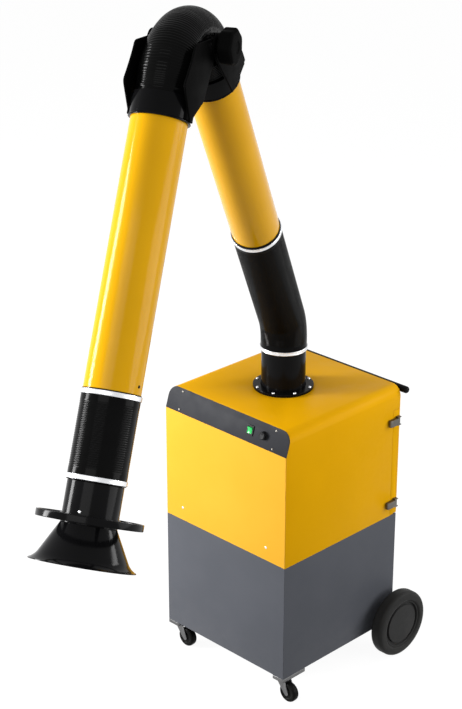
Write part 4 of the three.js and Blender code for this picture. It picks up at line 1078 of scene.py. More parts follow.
@dataclass
class Cabinet:
    """The grey base, the yellow upper cabinet and what is fixed to them."""

    places: Places
    half: float = 300.0
    top: float = 1075.0
    seam: float = 560.0
    sheet: float = 2.5
    edge_radius: float = 40.0
    fold: float = 0.6
    reveal: float = 1.2
    panel_foot: float = 991.0
    panel_setback: float = 27.0
    panel_sheet: float = 3.0
    panel_screw_radius: float = 4.472
    panel_screw_field: Point = (464.0, 66.0)
    door_head: float = 986.0
    door_flange: float = 34.0
    rabbet: float = 15.0
    frame_width: float = 36.0
    frame_drop: float = 0.05
    flange_inset: float = 5.0
    foot_flange: float = 20.0
    foot_flange_from: float = 24.5
    duct_radius: float = 78.0
    cover_screw_radius: float = 5.2
    cover_screw_spread: float = 424.0
    cover_screw_at: Point = (-3.0, 611.5)
    screw_height: float = 2.2
    knob_x: float = 183.0
    knob_radius: float = 15.5
    knob_height: float = 15.0
    knob_flutes: int = 24
    bar_radius: float = 13.0
    bar_overhang: float = 18.0
    bar_gap: float = 19.0
    bar_drop: float = 6.0
    post_inset: float = 62.0
    post_half: float = 15.0
    post_depth: float = 18.7
    grille_sheet: float = 2.8
    rivet_inset: Point = (22.0, 16.0)
    gland_at: Point = (-215.0, 190.0)
    gland_ribs: int = 16
    gland_rib_circle: float = 11.6

    @property
    def panel_slope(self) -> Matrix:
        """The panel's frame on the cabinet: X along it, Z up its face from its lower edge, Y into the cabinet."""
        lean = math.atan2(self.panel_setback, self.top - self.panel_foot)
        return moved(0, -self.half, self.panel_foot) @ Matrix.Rotation(-lean, 4, "X")

    @property
    def panel_height(self) -> float:
        """Height of the panel along its face."""
        return math.hypot(self.panel_setback, self.top - self.panel_foot)

    def on_panel(self, x: float) -> Matrix:
        """A place at half height of the panel's face, with Z out of it."""
        return self.places.cabinet @ self.panel_slope @ moved(x, 0, self.panel_height / 2) @ AGAINST_Y

    def outline(self, inset: float, foot: float) -> list[Point]:
        """The cabinet's front outline with its two rounded top corners.

        Args:
            inset: How far inside the outer faces.
            foot: Height of its lower edge.

        Returns:
            The closed outline in X and Z.
        """
        half, top, radius = self.half - inset, self.top - inset, self.edge_radius - inset
        right = arc((half - radius, top - radius), radius, 0.0, math.pi / 2, steps=20)
        left = arc((-half + radius, top - radius), radius, math.pi / 2, math.pi, steps=20)
        return [(-half, foot), (half, foot), *right, *left]

    def shells(self) -> None:
        """Builds the grey base and the yellow front cover with their folded edges."""
        recast("base_shell", "base_cabinet", Body.CABINET, GREY, bevel=2.0, steps=3)
        # The front cover takes the paler yellow, a painted highlight for its brightly lit face
        recast("front_sheet", "front_cover", Body.CABINET, YELLOW_COVER_PAINTED_HIGHLIGHT, bevel=1.1, steps=3)

    def upper(self) -> None:
        """Builds the yellow shell with its door frame, shelf and foot flanges."""
        far = 3000.0
        half, sheet = self.half, self.sheet
        wall_end = half - self.door_flange - self.reveal
        door_top = self.door_head + self.reveal
        face, step, skin = half - self.rabbet, half - self.flange_inset, half - self.frame_drop
        duct = [(0.0, self.door_head), (self.duct_radius, self.door_head), (self.duct_radius, far), (0.0, far)]
        shell = Draft().prism(self.outline(0.0, self.seam), (-half + sheet + FIT, half))
        tools = [
            Draft().prism(self.outline(sheet, 0.0), (-far, half - sheet)),
            Draft().block(both(far), (half - sheet - FIT, far), (0.0, door_top), bevel=0.0),
            Draft().block((half - sheet, far), (wall_end, far), (0.0, door_top), bevel=0.0),
            Draft().block(both(far), (-far, self.panel_sheet + FIT), both(far), self.panel_slope, bevel=0.0),
            Draft().lathe(duct),
        ]
        draft = carved(shell, tools)
        frame_z = (self.seam, door_top + sheet)
        depth = (face - sheet, face)
        left, right = -half + sheet / 2, step
        inner = (left + self.frame_width, right - self.frame_width)
        rails = ((frame_z[0], frame_z[0] + self.frame_width), (frame_z[1] - self.frame_width, frame_z[1]))
        folds = [((left, inner[0]), depth, frame_z), ((inner[1], right), depth, frame_z)]
        folds += [(inner, depth, rail) for rail in rails]
        folds += [
            (both(half - sheet / 2), (face - sheet, skin), (door_top, door_top + sheet)),
            ((step - sheet, skin), (wall_end - sheet, wall_end), frame_z),
            ((step - sheet, step), (wall_end - sheet, face), frame_z),
        ]
        for hand in Hand:
            ends = in_order(hand.value * (half - sheet / 2), hand.value * (half - sheet - self.foot_flange))
            folds.append((ends, (self.foot_flange_from - half, face - sheet / 2), (self.seam, self.seam + sheet)))
        for x, y, z in folds:
            draft.block(x, y, z, bevel=self.fold)
        piece("upper_shell", draft, self.places.cabinet, Body.CABINET, YELLOW, ["upper_cabinet"])

    def panel(self) -> None:
        """Builds the sloping control panel."""
        lift = self.panel_height / (self.top - self.panel_foot)
        flat = [(x, (z - self.panel_foot) * lift) for x, z in self.outline(0.0, self.panel_foot + FIT)]
        draft = Draft().prism(flat, (0.0, self.panel_sheet), bevel=0.7)
        piece("panel_sheet", draft, self.places.cabinet @ self.panel_slope, Body.CABINET, PANEL, ["control_panel"])

    def screws(self) -> None:
        """Sets the screws of the control panel and of the front cover."""
        head = screw_head(self.panel_screw_radius, self.screw_height)
        mesh = grid_of(head, LATCH, 2, 2, self.panel_screw_field)
        piece("panel_screws", mesh, self.on_panel(0.0), Body.CABINET, LATCH)
        head = screw_head(self.cover_screw_radius, self.screw_height)
        mesh = grid_of(head, ZINC, 2, 1, (self.cover_screw_spread, 0.0))
        x, z = self.cover_screw_at
        piece("cover_screws", mesh, self.places.cabinet @ moved(x, -self.half, z) @ AGAINST_Y, Body.CABINET, ZINC)

    def controls(self) -> None:
        """Builds the switch frame, its green rocker and the speed knob."""
        recast("switch_bezel", "switch_frame", Body.CABINET, SWITCH, bevel=1.0, steps=3)
        recast("rocker_lens", "power_rocker", Body.ROCKER, GREEN, bevel=0.8, steps=3)
        radius, height = self.knob_radius, self.knob_height
        grip = [
            (0.0, -14.0), (4.0, -14.0), (4.0, FIT), (radius, FIT), (radius, 3.0), (radius * 0.92, 4.2),
            (radius * 0.86, height * 0.86), (radius * 0.74, height), (radius * 0.5, height * 0.94), (0.0, height * 0.94)
        ]
        draft = Draft().lathe(eased(grip, radius=0.8), sides=WHEEL_ROUND)
        draft.block(both(1.3), (radius * 0.2, radius * 0.86), (height * 0.8, height * 1.05), bevel=0.4)
        flute = Draft().block((-1.2, 0.5), both(0.9), (4.4, height * 0.86), bevel=0.35)
        draft.merge(ring_of(flute, SWITCH, self.knob_flutes, radius * 0.9))
        piece("speed_grip", draft, self.on_panel(self.knob_x), Body.KNOB, SWITCH, ["speed_knob"])

    def handle(self) -> None:
        """Builds the push handle with its rounded ends and two posts."""
        radius, half = self.bar_radius, self.half + self.bar_overhang
        core, end = radius * 0.35, radius * 0.65
        bar = mirrored([(0.0, -half), *arc((core, end - half), end, -math.pi / 2, 0.0, steps=6)])
        draft = Draft().lathe(bar, ALONG_X, BAR_ROUND)
        for hand in Hand:
            middle = hand.value * (self.half - self.post_inset)
            across = (middle - self.post_half, middle + self.post_half)
            draft.block(across, (-self.post_depth, 0.0), both(radius * 0.8), bevel=3.0)
        place = self.places.cabinet @ moved(0, self.half + self.bar_gap, self.top - self.bar_drop - radius)
        piece("push_bar", draft, place, Body.CABINET, BLACK_PAINT, ["push_handle"])

    def back(self) -> None:
        """Builds the exhaust grille's plate and rivets and the cable gland."""
        recast("exhaust_plate", "exhaust_grille", Body.CABINET, GREY, bevel=0.5)
        low, high = (corner / MILLIMETRE - self.places.cabinet.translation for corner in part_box("exhaust_grille"))
        rivet = [(0.0, 1.6), (1.6, 1.4), (2.8, 0.6), (3.2, -0.4), (0.0, -0.4)]
        spread = (high.x - low.x - self.rivet_inset[0], high.z - low.z - self.rivet_inset[1])
        mesh = grid_of(Draft().lathe(rivet, sides=HEAD_ROUND), ZINC, 2, 2, spread)
        middle = moved((low.x + high.x) / 2, self.half + self.grille_sheet, (low.z + high.z) / 2)
        piece("exhaust_rivets", mesh, self.places.cabinet @ middle @ ALONG_Y, Body.CABINET, ZINC)
        gland = [
            (0.0, -8.0), (7.2, -8.0), (7.2, FIT), (12.0, FIT), (12.0, 5.0), (10.6, 5.6), (10.6, 6.4), (12.0, 7.0),
            (12.0, 12.0), (10.4, 18.0), (9.2, 21.5), (7.0, 24.0), (4.6, 24.0), (4.2, 19.0), (0.0, 19.0)
        ]
        draft = Draft().lathe(eased(gland, radius=0.6), sides=GLAND_ROUND)
        rib = Draft().block((-0.6, 0.5), both(1.0), (7.6, 12.6), bevel=0.3)
        draft.merge(ring_of(rib, SWITCH, self.gland_ribs, self.gland_rib_circle))
        place = self.places.cabinet @ moved(self.gland_at[0], self.half, self.gland_at[1]) @ ALONG_Y
        piece("cable_entry", draft, place, Body.CABINET, SWITCH, ["cable_gland"])

    def build(self) -> None:
        """Builds every piece of the cabinet."""
        for step in (self.shells, self.upper, self.panel, self.screws, self.controls, self.handle, self.back):
            step()


@dataclass
class RearDoor:
    """The rear door with its two toggle latches."""

    places: Places
    lower_at: float = 612.0
    upper_at: float = 945.0
    pivot_x: float = 309.0
    pivot_y: float = 284.0
    ear_x: Span = (300.4, 314.9)
    ear_half: float = 8.6
    ear_from: float = 13.15
    ear_to: float = 16.8
    pin_room: float = 2.8

    def ears(self, middle: float) -> Draft:
        """The metal shoes on the two lugs that carry a lever's pin.

        Args:
            middle: Height of the latch.

        Returns:
            The shoes, with a hole for the pin.
        """
        place = self.places.cabinet @ moved(0, self.pivot_y, middle)
        shoes = Draft()
        for side in (-1, 1):
            height = in_order(side * self.ear_from, side * self.ear_to)
            shoes.block(self.ear_x, both(self.ear_half), height, place, bevel=0.8)
        reach = self.ear_to + 1.0
        hole = mirrored([(0.0, -reach), (self.pin_room, -reach)])
        return carved(shoes, [Draft().lathe(hole, place @ moved(self.pivot_x), PIN_ROUND)])

    def build(self) -> None:
        """Builds the door, the latches, their keepers and the hinges."""
        recast("door_sheet", "rear_door", Body.DOOR, YELLOW, bevel=0.8, angle=FOLDED)
        for level, body, middle in (
            ("lower", Body.LATCH_LOWER, self.lower_at), ("upper", Body.LATCH_UPPER, self.upper_at)
        ):
            recast(f"latch_{level}_arm", f"latch_lever_{level}", body, LATCH, bevel=1.6, steps=3, angle=FOLDED)
            recast(f"latch_{level}_strike", f"latch_keeper_{level}", Body.CABINET, BLACK_PAINT, bevel=0.5)
            piece(f"latch_{level}_ears", self.ears(middle), STILL, Body.DOOR, LATCH)
            recast(f"hinge_{level}_leaf", f"hinge_{level}", Body.CABINET, ALLOY, bevel=0.6, angle=FOLDED)
        dress(RUBBER, "door_gasket")


@dataclass
class Undercarriage:
    """Two large rear wheels and two front castors."""

    places: Places
    wheel_radius: float = 128.85
    wheel_width: float = 56.0
    wheel_x: float = 328.0
    wheel_height: float = 128.89
    axle_y: float = 268.0
    rim_radius: float = 93.0
    hub_radius: float = 22.0
    axle_bore: float = 10.3
    castor_radius: float = 37.6
    castor_width: float = 28.0
    castor_x: float = 266.0
    castor_y: float = -262.0
    castor_height: float = 37.67
    castor_trail: float = 30.0

    def rear_wheel(self, hand: Hand, body: Body) -> None:
        """Builds one rear wheel.

        Args:
            hand: Its side of the cabinet.
            body: Body that it rides on.
        """
        side = hand.name.lower()
        width, radius, rim, seat = self.wheel_width, self.wheel_radius, self.rim_radius, self.rim_radius + FIT
        tyre = [
            (seat, 6.0), (seat + 4.0, 1.2), (seat + 8.0, 0.0), (radius - 15.0, 0.6), (radius - 8.0, 2.4),
            (radius - 2.6, 7.0), (radius, 14.0)
        ]
        disc = [
            (0.0, width - 10.0), (0.0, width - 6.2), (rim - 17.0, width - 6.0), (rim - 16.0, width - 14.5),
            (rim - 6.0, width - 14.5), (rim - 5.0, width - 6.0), (rim, width - 6.0), (rim, 6.0), (rim - 8.0, 6.0),
            (rim - 8.0, width - 19.0), (self.hub_radius, width - 19.0), (self.hub_radius, 0.0), (self.axle_bore, 0.0),
            (self.axle_bore, width - 10.0)
        ]
        turn = Matrix.Rotation(0.0 if hand is Hand.RIGHT else math.pi, 4, "Z")
        hub = moved(hand.value * self.wheel_x, self.axle_y, self.wheel_height)
        place = self.places.cabinet @ hub @ turn @ ALONG_X
        draft = Draft().lathe(eased(mirrored(tyre, width / 2), radius=2.0))
        piece(f"tyre_{side}", draft, place, body, RUBBER, [f"rear_tyre_{side}"])
        piece(f"rim_{side}", Draft().lathe(eased(disc, radius=1.2)), place, body, WHEEL_DISC, [f"rear_rim_{side}"])

    def castor(self, hand: Hand, body: Body, roller: Body) -> None:
        """Builds one castor.

        Args:
            hand: Its side of the cabinet.
            body: Body of its fork.
            roller: Body of its wheel.
        """
        side = hand.name.lower()
        recast(f"castor_mount_{side}", f"castor_plate_{side}", Body.CABINET, CASTOR_STEEL, bevel=1.2)
        recast(f"castor_legs_{side}", f"castor_fork_{side}", body, CASTOR_STEEL, bevel=0.7, angle=FOLDED)
        radius, low = self.castor_radius, -self.castor_width / 2
        tread = [
            (5.3, low), (11.0, low), (12.0, low + 2.5), (22.0, low + 2.5), (24.0, low), (radius - 6.0, low),
            (radius - 1.5, low + 3.0), (radius, low + 8.0)
        ]
        hub = moved(hand.value * self.castor_x + self.castor_trail, self.castor_y, self.castor_height)
        draft = Draft().lathe(eased(mirrored(tread), radius=1.5), sides=WHEEL_ROUND)
        place = self.places.cabinet @ hub @ ALONG_Y
        piece(f"castor_tread_{side}", draft, place, roller, CASTOR_TREAD, [f"castor_wheel_{side}"])

    def build(self) -> None:
        """Builds all four wheels."""
        self.rear_wheel(Hand.LEFT, Body.WHEEL_LEFT)
        self.rear_wheel(Hand.RIGHT, Body.WHEEL_RIGHT)
        self.castor(Hand.LEFT, Body.CASTOR_LEFT, Body.ROLLER_LEFT)
        self.castor(Hand.RIGHT, Body.CASTOR_RIGHT, Body.ROLLER_RIGHT)
        dress(ZINC, "rear_axle")


def bent_path(first: float, radius: float, turn: float, last: float) -> list[Vector]:
    """A path that starts along Z, bends towards X and goes on straight.

    Args:
        first: Straight length before the bend.
        radius: Radius of the bend.
        turn: Angle of the bend in radians.
        last: Straight length after the bend.

    Returns:
        Points of the path.
    """
    straights, bends = 12, 48 if turn else 0
    path = [Vector((0, 0, first * step / straights)) for step in range(straights + 1)]
    for step in range(1, bends + 1):
        angle = turn * step / bends
        path.append(Vector((radius * (1 - math.cos(angle)), 0, first + radius * math.sin(angle))))
    ahead = Vector((math.sin(turn), 0, math.cos(turn)))
    end = path[-1].copy()
    return path + [end + ahead * last * step / straights for step in range(1, straights + 1)]


@dataclass
class Ducting:
    """Sizes and forms shared by tubes, hoses and clamps."""

    tube_radius: float = 81.0
    tube_wall: float = 2.0
    spigot_radius: float = 71.0
    spigot_length: float = 30.0
    crest: float = 83.0
    rib_depth: float = 1.2
    pitch: float = 6.2
    cuff: float = 36.0
    clamp_width: float = 13.0
    clamp_bore: float = 83.4
    clamp_band: float = 2.6
    clamp_inset: float = 10.0
    lug: float = 14.0
    rings_per_rib: int = 6
    sides: int = 64
    wall: float = 2.2
    rib_angle: float = 80.0

    def tube(self, start: float, end: float) -> Draft:
        """A tube along Z with a narrow spigot at each end.

        Args:
            start: Lower shoulder.
            end: Upper shoulder.

        Returns:
            The tube.
        """
        wall, neck, middle = self.tube_wall, self.spigot_radius, (start + end) / 2
        foot = start - self.spigot_length
        outside = [(neck - wall, foot), (neck, foot), (neck, start), (self.tube_radius, start)]
        inside = [(neck - wall, start + wall), (self.tube_radius - wall, start + wall)]
        return Draft().lathe(eased([*mirrored(outside, middle), *reversed(mirrored(inside, middle))], radius=1.2))

    def clamp(self, middle: float, away: float) -> Draft:
        """A band clamp with its screw housing.

        Args:
            middle: Its height along the hose.
            away: Angle of the housing in radians.

        Returns:
            The clamp.
        """
        lug, outer = self.lug, self.clamp_bore + self.clamp_band
        low, high = middle - self.clamp_width / 2, middle + self.clamp_width / 2
        band = [(self.clamp_bore, low), (outer - 0.8, low), (outer, low + 1.6), (outer - 0.5, low + 3.2)]
        screw = [(0.0, -lug), (4.2, -lug), (4.2, -lug * 0.7), (2.4, -lug * 0.7), (2.4, lug), (0.0, lug)]
        turn = Matrix.Rotation(away, 4, "Z")
        draft = Draft().lathe(eased(mirrored(band, middle), radius=0.5))
        draft.block((outer - 1.2, outer + lug / 2), both(lug * 0.8), (low, high), turn, bevel=1.4)
        return draft.lathe(eased(screw, radius=0.4), turn @ moved(outer + lug / 4, 0, middle) @ ALONG_Y, PIN_ROUND)

    def walled(self, mesh: Mesh) -> Mesh:
        """Gives an open tube its wall thickness, inwards.

        Args:
            mesh: The open tube, which is used up.

        Returns:
            The closed wall.
        """
        shape = bmesh.new()
        shape.from_mesh(mesh)
        bmesh.ops.recalc_face_normals(shape, faces=shape.faces[:])
        middle = sum((face.calc_center_median() for face in shape.faces), Vector()) / len(shape.faces)
        nearest = min(shape.faces, key=lambda face: (face.calc_center_median() - middle).length)
        if nearest.normal.dot(nearest.calc_center_median() - middle) < 0:
            bmesh.ops.reverse_faces(shape, faces=shape.faces[:])
        shape.to_mesh(mesh)
        shape.free()
        holder = bpy.data.objects.new("hose_wall", mesh)
        modifier = holder.modifiers.new("wall", "SOLIDIFY")
        modifier.thickness, modifier.offset, modifier.use_rim = self.wall, -1.0, True
        return settled(holder)

    def bellows(
        self, name: str, node: str, path: Sequence[Vector], place: Matrix, inset: float = 0.0
    ) -> Object:
        """Builds a ribbed hose along a path, hollow and closed at its rims.

        Args:
            name: Name of the piece.
            node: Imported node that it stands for.
            path: Points of its middle line, close together.
            place: Place of the path.
            inset: How far its end cuffs lie below the rib crests.

        Returns:
            The hose, which still needs the two bodies that it bends between.
        """
        line = bpy.data.meshes.new("hose_path")
        line.from_pydata([tuple(point) for point in path], [(step, step + 1) for step in range(len(path) - 1)], [])
        length = sum((after - before).length for before, after in zip(path, path[1:]))
        ribs = max(1, round((length - 2 * self.cuff) / self.pitch))
        pitch = (length - 2 * self.cuff) / ribs
        tube = grown(
            "ribbed_hose", line, HOSE, Crest_Radius=self.crest, Rib_Depth=self.rib_depth, Rib_Pitch=pitch,
            Cuff_Length=self.cuff, Cuff_Inset=inset, Length=length, Rings=int(length / pitch * self.rings_per_rib),
            Sides=self.sides
        )
        return piece(name, self.walled(tube), place, None, HOSE, [node], self.rib_angle)


@dataclass
class ArmPart:
    """A sub-assembly of the arm."""

    places: Places
    duct: Ducting = field(default_factory=Ducting)


@dataclass
class ArmFoot(ArmPart):
    """The bolted flange, the turning collar and the base hose."""

    foot: float = 1075.3
    flange_radius: float = 110.0
    flange_height: float = 10.0
    flange_bore: float = 81.4
    flange_recess: Point = (92.2, 4.6)
    bolt_circle: float = 101.0
    bolts: int = 8
    bolt_radius: float = 5.6
    bolt_height: float = 4.4
    collar_radius: float = 80.0
    collar_top: float = 1221.0
    lip_radius: float = 91.0
    lip_height: float = 4.0
    bend: float = 180.0
    bends_from: float = -80.0
    bends_to: float = 240.0

    def flange(self) -> None:
        """Builds the flange and its ring of bolts."""
        foot, top = self.foot, self.foot + self.flange_height
        recess, step = self.flange_recess[0], foot + self.flange_recess[1]
        outline = [
            (recess, foot), (self.flange_radius, foot), (self.flange_radius, top), (self.flange_bore, top),
            (self.flange_bore, step), (recess, step)
        ]
        draft = Draft().lathe(eased(outline, radius=1.6))
        piece("flange_disc", draft, self.places.cabinet, Body.CABINET, BLACK_PAINT, ["base_flange"])
        head = screw_head(self.bolt_radius, self.bolt_height)
        mesh = ring_of(head, ZINC, self.bolts, self.bolt_circle, math.pi / self.bolts)
        piece("flange_bolts", mesh, self.places.cabinet @ moved(z=top), Body.CABINET, ZINC)

    def collar(self) -> None:
        """Builds the turning collar."""
        foot, lip, top, wall = self.foot, self.foot + self.lip_height, self.collar_top, self.duct.tube_wall
        neck, end = self.duct.spigot_radius, self.collar_top + self.duct.spigot_length
        outline = [
            (self.collar_radius - wall, foot), (self.lip_radius, foot), (self.lip_radius, lip),
            (self.collar_radius, lip), (self.collar_radius, top), (neck, top), (neck, end), (neck - wall, end),
            (neck - wall, top - wall), (self.collar_radius - wall, top - wall)
        ]
        draft = Draft().lathe(eased(outline, radius=1.0))
        piece("collar_skin", draft, self.places.swivel, Body.SWIVEL, BLACK_PAINT, ["swivel_collar"])

    def hose(self) -> None:
        """Builds the base hose, which bends with the tilt joint, and its lower clamp."""
        tilt, lean = self.places.tilt_height, math.radians(self.places.lean)
        tangent = self.bend * math.tan(lean / 2)
        start = self.collar_top + FIT
        path = bent_path(tilt - start - tangent, self.bend, lean, self.places.tilt_to_tube - FIT - tangent)
        made = self.duct.bellows("base_bellows", "base_hose", path, self.places.swivel @ moved(z=start))
        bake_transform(made)
        draft = self.duct.clamp(self.collar_top + self.duct.clamp_inset, math.pi)
        piece("clamp_base", draft, self.places.swivel, Body.SWIVEL, ZINC, ["base_clamp"])

    def build(self) -> None:
        """Builds every piece of the arm's foot."""
        self.flange()
        self.collar()
        self.hose()
        dress(ZINC, "base_bracket", "tilt_bolt")


@dataclass
class InnerArm(ArmPart):
    """The long inner tube with its clamp."""

    clamp_inset: float = 15.0

    def build(self) -> None:
        """Builds the tube and the clamp and dresses the strut inside."""
        place, body, start = self.places.inner, Body.INNER_ARM, self.places.tilt_to_tube
        draft = self.duct.tube(start, self.places.elbow_along - self.places.tube_to_elbow)
        piece("tube_inner", draft, place, body, YELLOW_TUBE, ["inner_tube"])
        draft = self.duct.clamp(start - self.clamp_inset, math.pi)
        piece("clamp_inner", draft, place, body, ZINC, ["inner_clamp"])
        dress(ZINC, "inner_strut")


@dataclass
class Elbow(ArmPart):
    """The two forks, the friction discs, the pivot pin, the clamping knob and the elbow hose."""

    near: float = 181.0
    far: float = 250.0
    fork_wall: float = 4.7
    lip: float = 2.5
    cheek: float = 6.5
    near_cheek_at: float = 86.0
    far_cheek_at: float = 96.1
    strap_eye: float = 36.0
    strap_half: float = 48.0
    strap_heel: float = 8.0
    strap_pad: Span = (-44.0, 44.0)
    strap_pad_depth: float = 34.5
    shield_eye: float = 22.0
    shield_reach: float = 174.0
    shield_along: float = 165.0
    shield_shoulder: float = 141.0
    shield_rise: float = 40.0
    shield_heel: Point = (-10.0, 166.0)
    shield_turn: float = 10.0
    shield_pad: Span = (-26.0, 26.0)
    shield_pad_depth: float = 62.0
    bend: float = 166.0
    cuff_radius: float = 79.5
    stud_radius: float = 8.0
    stud_head: float = 14.0
    stud_head_height: float = 2.2
    pin_head_height: float = 8.0
    knob_radius: float = 54.0
    knob_height: float = 45.0
    knob_lobes: int = 7
    lobe_depth: float = 4.2
    stand_off: float = 11.0
    hub_radius: float = 22.0

    @property
    def offset(self) -> float:
        """Distance of the pivot from the tubes' axes."""
        return self.places.elbow_offset

    @property
    def hub(self) -> float:
        """Where a stud leaves the outer cheek, from the arm's plane."""
        return self.far_cheek_at + self.cheek + FIT

    def strap(self) -> list[Point]:
        """The inner fork's cheek: a strap from the collar to the pivot.

        Returns:
            The closed outline in X and Z.
        """
        foot, back = -self.near - (self.far - self.near) / 3, -self.offset - self.strap_half
        outline = [(back, foot), (-self.strap_heel, foot)]
        outline += arc((0.0, 0.0), self.strap_eye, 0.0, math.pi * 0.8, steps=28)
        return outline + bowed(outline[-1], (back, -self.near / 3), (back, foot), steps=20)[:-1]

    def shield(self) -> list[Point]:
        """The outer fork's cheek: a shield beside the hose that narrows to the collar and to the pivot.

        Returns:
            The closed outline in X and Z.
        """
        reach, along, turn = self.shield_reach, self.shield_along, self.shield_turn
        shoulder, rise = self.shield_shoulder, self.shield_rise
        heel_x, heel_z = self.shield_heel
        outline = [(-self.offset, self.far - self.lip), (turn - reach, along + turn)]
        outline += bowed(outline[-1], (-reach, along), (-reach + turn / 4, along - turn), steps=6)
        outline += bowed(outline[-1], (-shoulder - turn / 2, along / 2), (-shoulder - turn / 4, rise + turn), steps=18)
        outline += bowed(outline[-1], (-shoulder, rise), (-shoulder + turn, rise - turn / 2), steps=8)
        outline += arc((0.0, 0.0), self.shield_eye, math.pi * 1.36, math.pi * 2.06, steps=20)
        outline += bowed((heel_x + turn / 4, heel_z - turn), self.shield_heel, (heel_x - turn, heel_z + turn), steps=6)
        return outline

    def collar(self, side: int) -> Draft:
        """A fork's collar on its tube.

        Args:
            side: -1 below the pivot and 1 beyond it.

        Returns:
            The collar.
        """
        bore = self.duct.tube_radius + FIT
        outer = bore + self.fork_wall
        rim = outer + self.lip
        collar = [
            (bore, self.near), (outer, self.near), (outer, self.far - 2.4 * self.lip),
            (rim, self.far - 1.6 * self.lip), (rim, self.far), (bore, self.far)
        ]
        turned = [(radius, side * along) for radius, along in collar]
        return Draft().lathe(eased(turned, radius=1.4), moved(-self.offset))

    def cheeks(self, side: int, outline: Sequence[Point], cheek_at: float, pad: Span, depth: float) -> Draft:
        """A fork's cheeks on both sides of the elbow.

        Args:
            side: -1 below the pivot and 1 beyond it.
            outline: Outline of a cheek.
            cheek_at: Inner face of a cheek from the arm's plane.
            pad: Ends of the block that joins a cheek to the collar.
            depth: Length of that block along the tube.

        Returns:
            The cheeks.
        """
        draft = Draft()
        pad_z = in_order(side * self.near, side * (self.near + depth))
        for hand in Hand:
            across = in_order(hand.value * cheek_at, hand.value * (cheek_at + self.cheek))
            draft.prism(outline, across, bevel=2.2)
            pad_y = in_order(hand.value * self.duct.tube_radius * 1.01, hand.value * (cheek_at + self.cheek / 2))
            draft.block(pad, pad_y, pad_z, moved(-self.offset), bevel=1.5)
        return draft

    def stud(self) -> list[Point]:
        """Outline of a stud through both cheeks with its inner head, outwards from the arm's plane.

        Returns:
            The start of a closed outline of radius and height.
        """
        head_to = self.near_cheek_at - FIT
        head_from = head_to - self.stud_head_height
        return [
            (0.0, head_from), (self.stud_head, head_from), (self.stud_head, head_to), (self.stud_radius, head_to),
            (self.stud_radius, self.hub)
        ]

    def pin(self) -> Draft:
        """The plain pivot pin with its domed head, drawn outwards along Z.

        Returns:
            The pin.
        """
        radius, end = self.stud_head, self.hub + self.pin_head_height
        head = [(radius, self.hub), (radius, end - 3.0), (radius - 4.0, end), (0.0, end)]
        return Draft().lathe(eased([*self.stud(), *head], radius=1.6), sides=BAR_ROUND)

    def knob(self) -> Draft:
        """The clamping knob with its hub, stud and lobed grip, drawn outwards along Z.

        Returns:
            The knob.
        """
        hub, radius, start = self.hub_radius, self.knob_radius, self.hub + self.stand_off
        end = start + self.knob_height
        grip = [
            (hub, self.hub), (hub, start - 5.0), (hub + 5.0, start), (radius - 8.0, start), (radius, start + 6.0),
            (radius, end - 7.0), (radius - 8.0, end - 0.8), (19.0, end), (17.0, end - 1.8), (0.0, end - 1.8)
        ]
        draft = Draft().lathe(eased([*self.stud(), *grip], radius=3.0))
        waist = hub + 8.0
        for vertex in draft.shape.verts:
            away = math.hypot(vertex.co.x, vertex.co.y)
            if away > waist:
                share = (away - waist) / (radius - waist)
                hollow = 0.5 - 0.5 * math.cos(self.knob_lobes * math.atan2(vertex.co.y, vertex.co.x))
                kept = 1 - self.lobe_depth * hollow * share / away
                vertex.co.x *= kept
                vertex.co.y *= kept
        return draft

    def hose(self) -> None:
        """Builds the elbow hose, which bends with the elbow."""
        turn = self.places.turn
        tangent = (self.bend - self.offset) * math.tan(turn / 2)
        straight = self.places.tube_to_elbow - FIT - tangent
        path = bent_path(straight, self.bend, turn, straight)
        place = self.places.elbow @ moved(-self.offset, 0, FIT - self.places.tube_to_elbow)
        made = self.duct.bellows("elbow_bellows", "elbow_hose", path, place, self.duct.crest - self.cuff_radius)
        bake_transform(made)

    def build(self) -> None:
        """Builds every piece of the elbow."""
        elbow, outer = self.places.elbow, self.places.outer
        draft = self.cheeks(-1, self.strap(), self.far_cheek_at, self.strap_pad, self.strap_pad_depth)
        piece("fork_inner", draft, elbow, Body.INNER_ARM, BLACK_PLASTIC, ["inner_fork"])
        piece("collar_inner", self.collar(-1), elbow, Body.INNER_ARM, COLLAR)
        draft = self.cheeks(1, self.shield(), self.near_cheek_at, self.shield_pad, self.shield_pad_depth)
        piece("fork_outer", draft, outer, Body.OUTER_ARM, BLACK_PLASTIC, ["outer_fork"])
        piece("collar_outer", self.collar(1), outer, Body.OUTER_ARM, COLLAR)
        turned = outer @ Matrix.Rotation(math.pi, 4, "Z") @ ALONG_Y
        piece("pivot_pin", self.pin(), turned, Body.OUTER_ARM, BLACK_PAINT, ["elbow_pin"])
        piece("clamp_grip", self.knob(), outer @ ALONG_Y, Body.CLAMP_KNOB, BLACK_PLASTIC, ["elbow_knob"])
        dress(ZINC, "friction_disc_left", "friction_disc_right")
        self.hose()


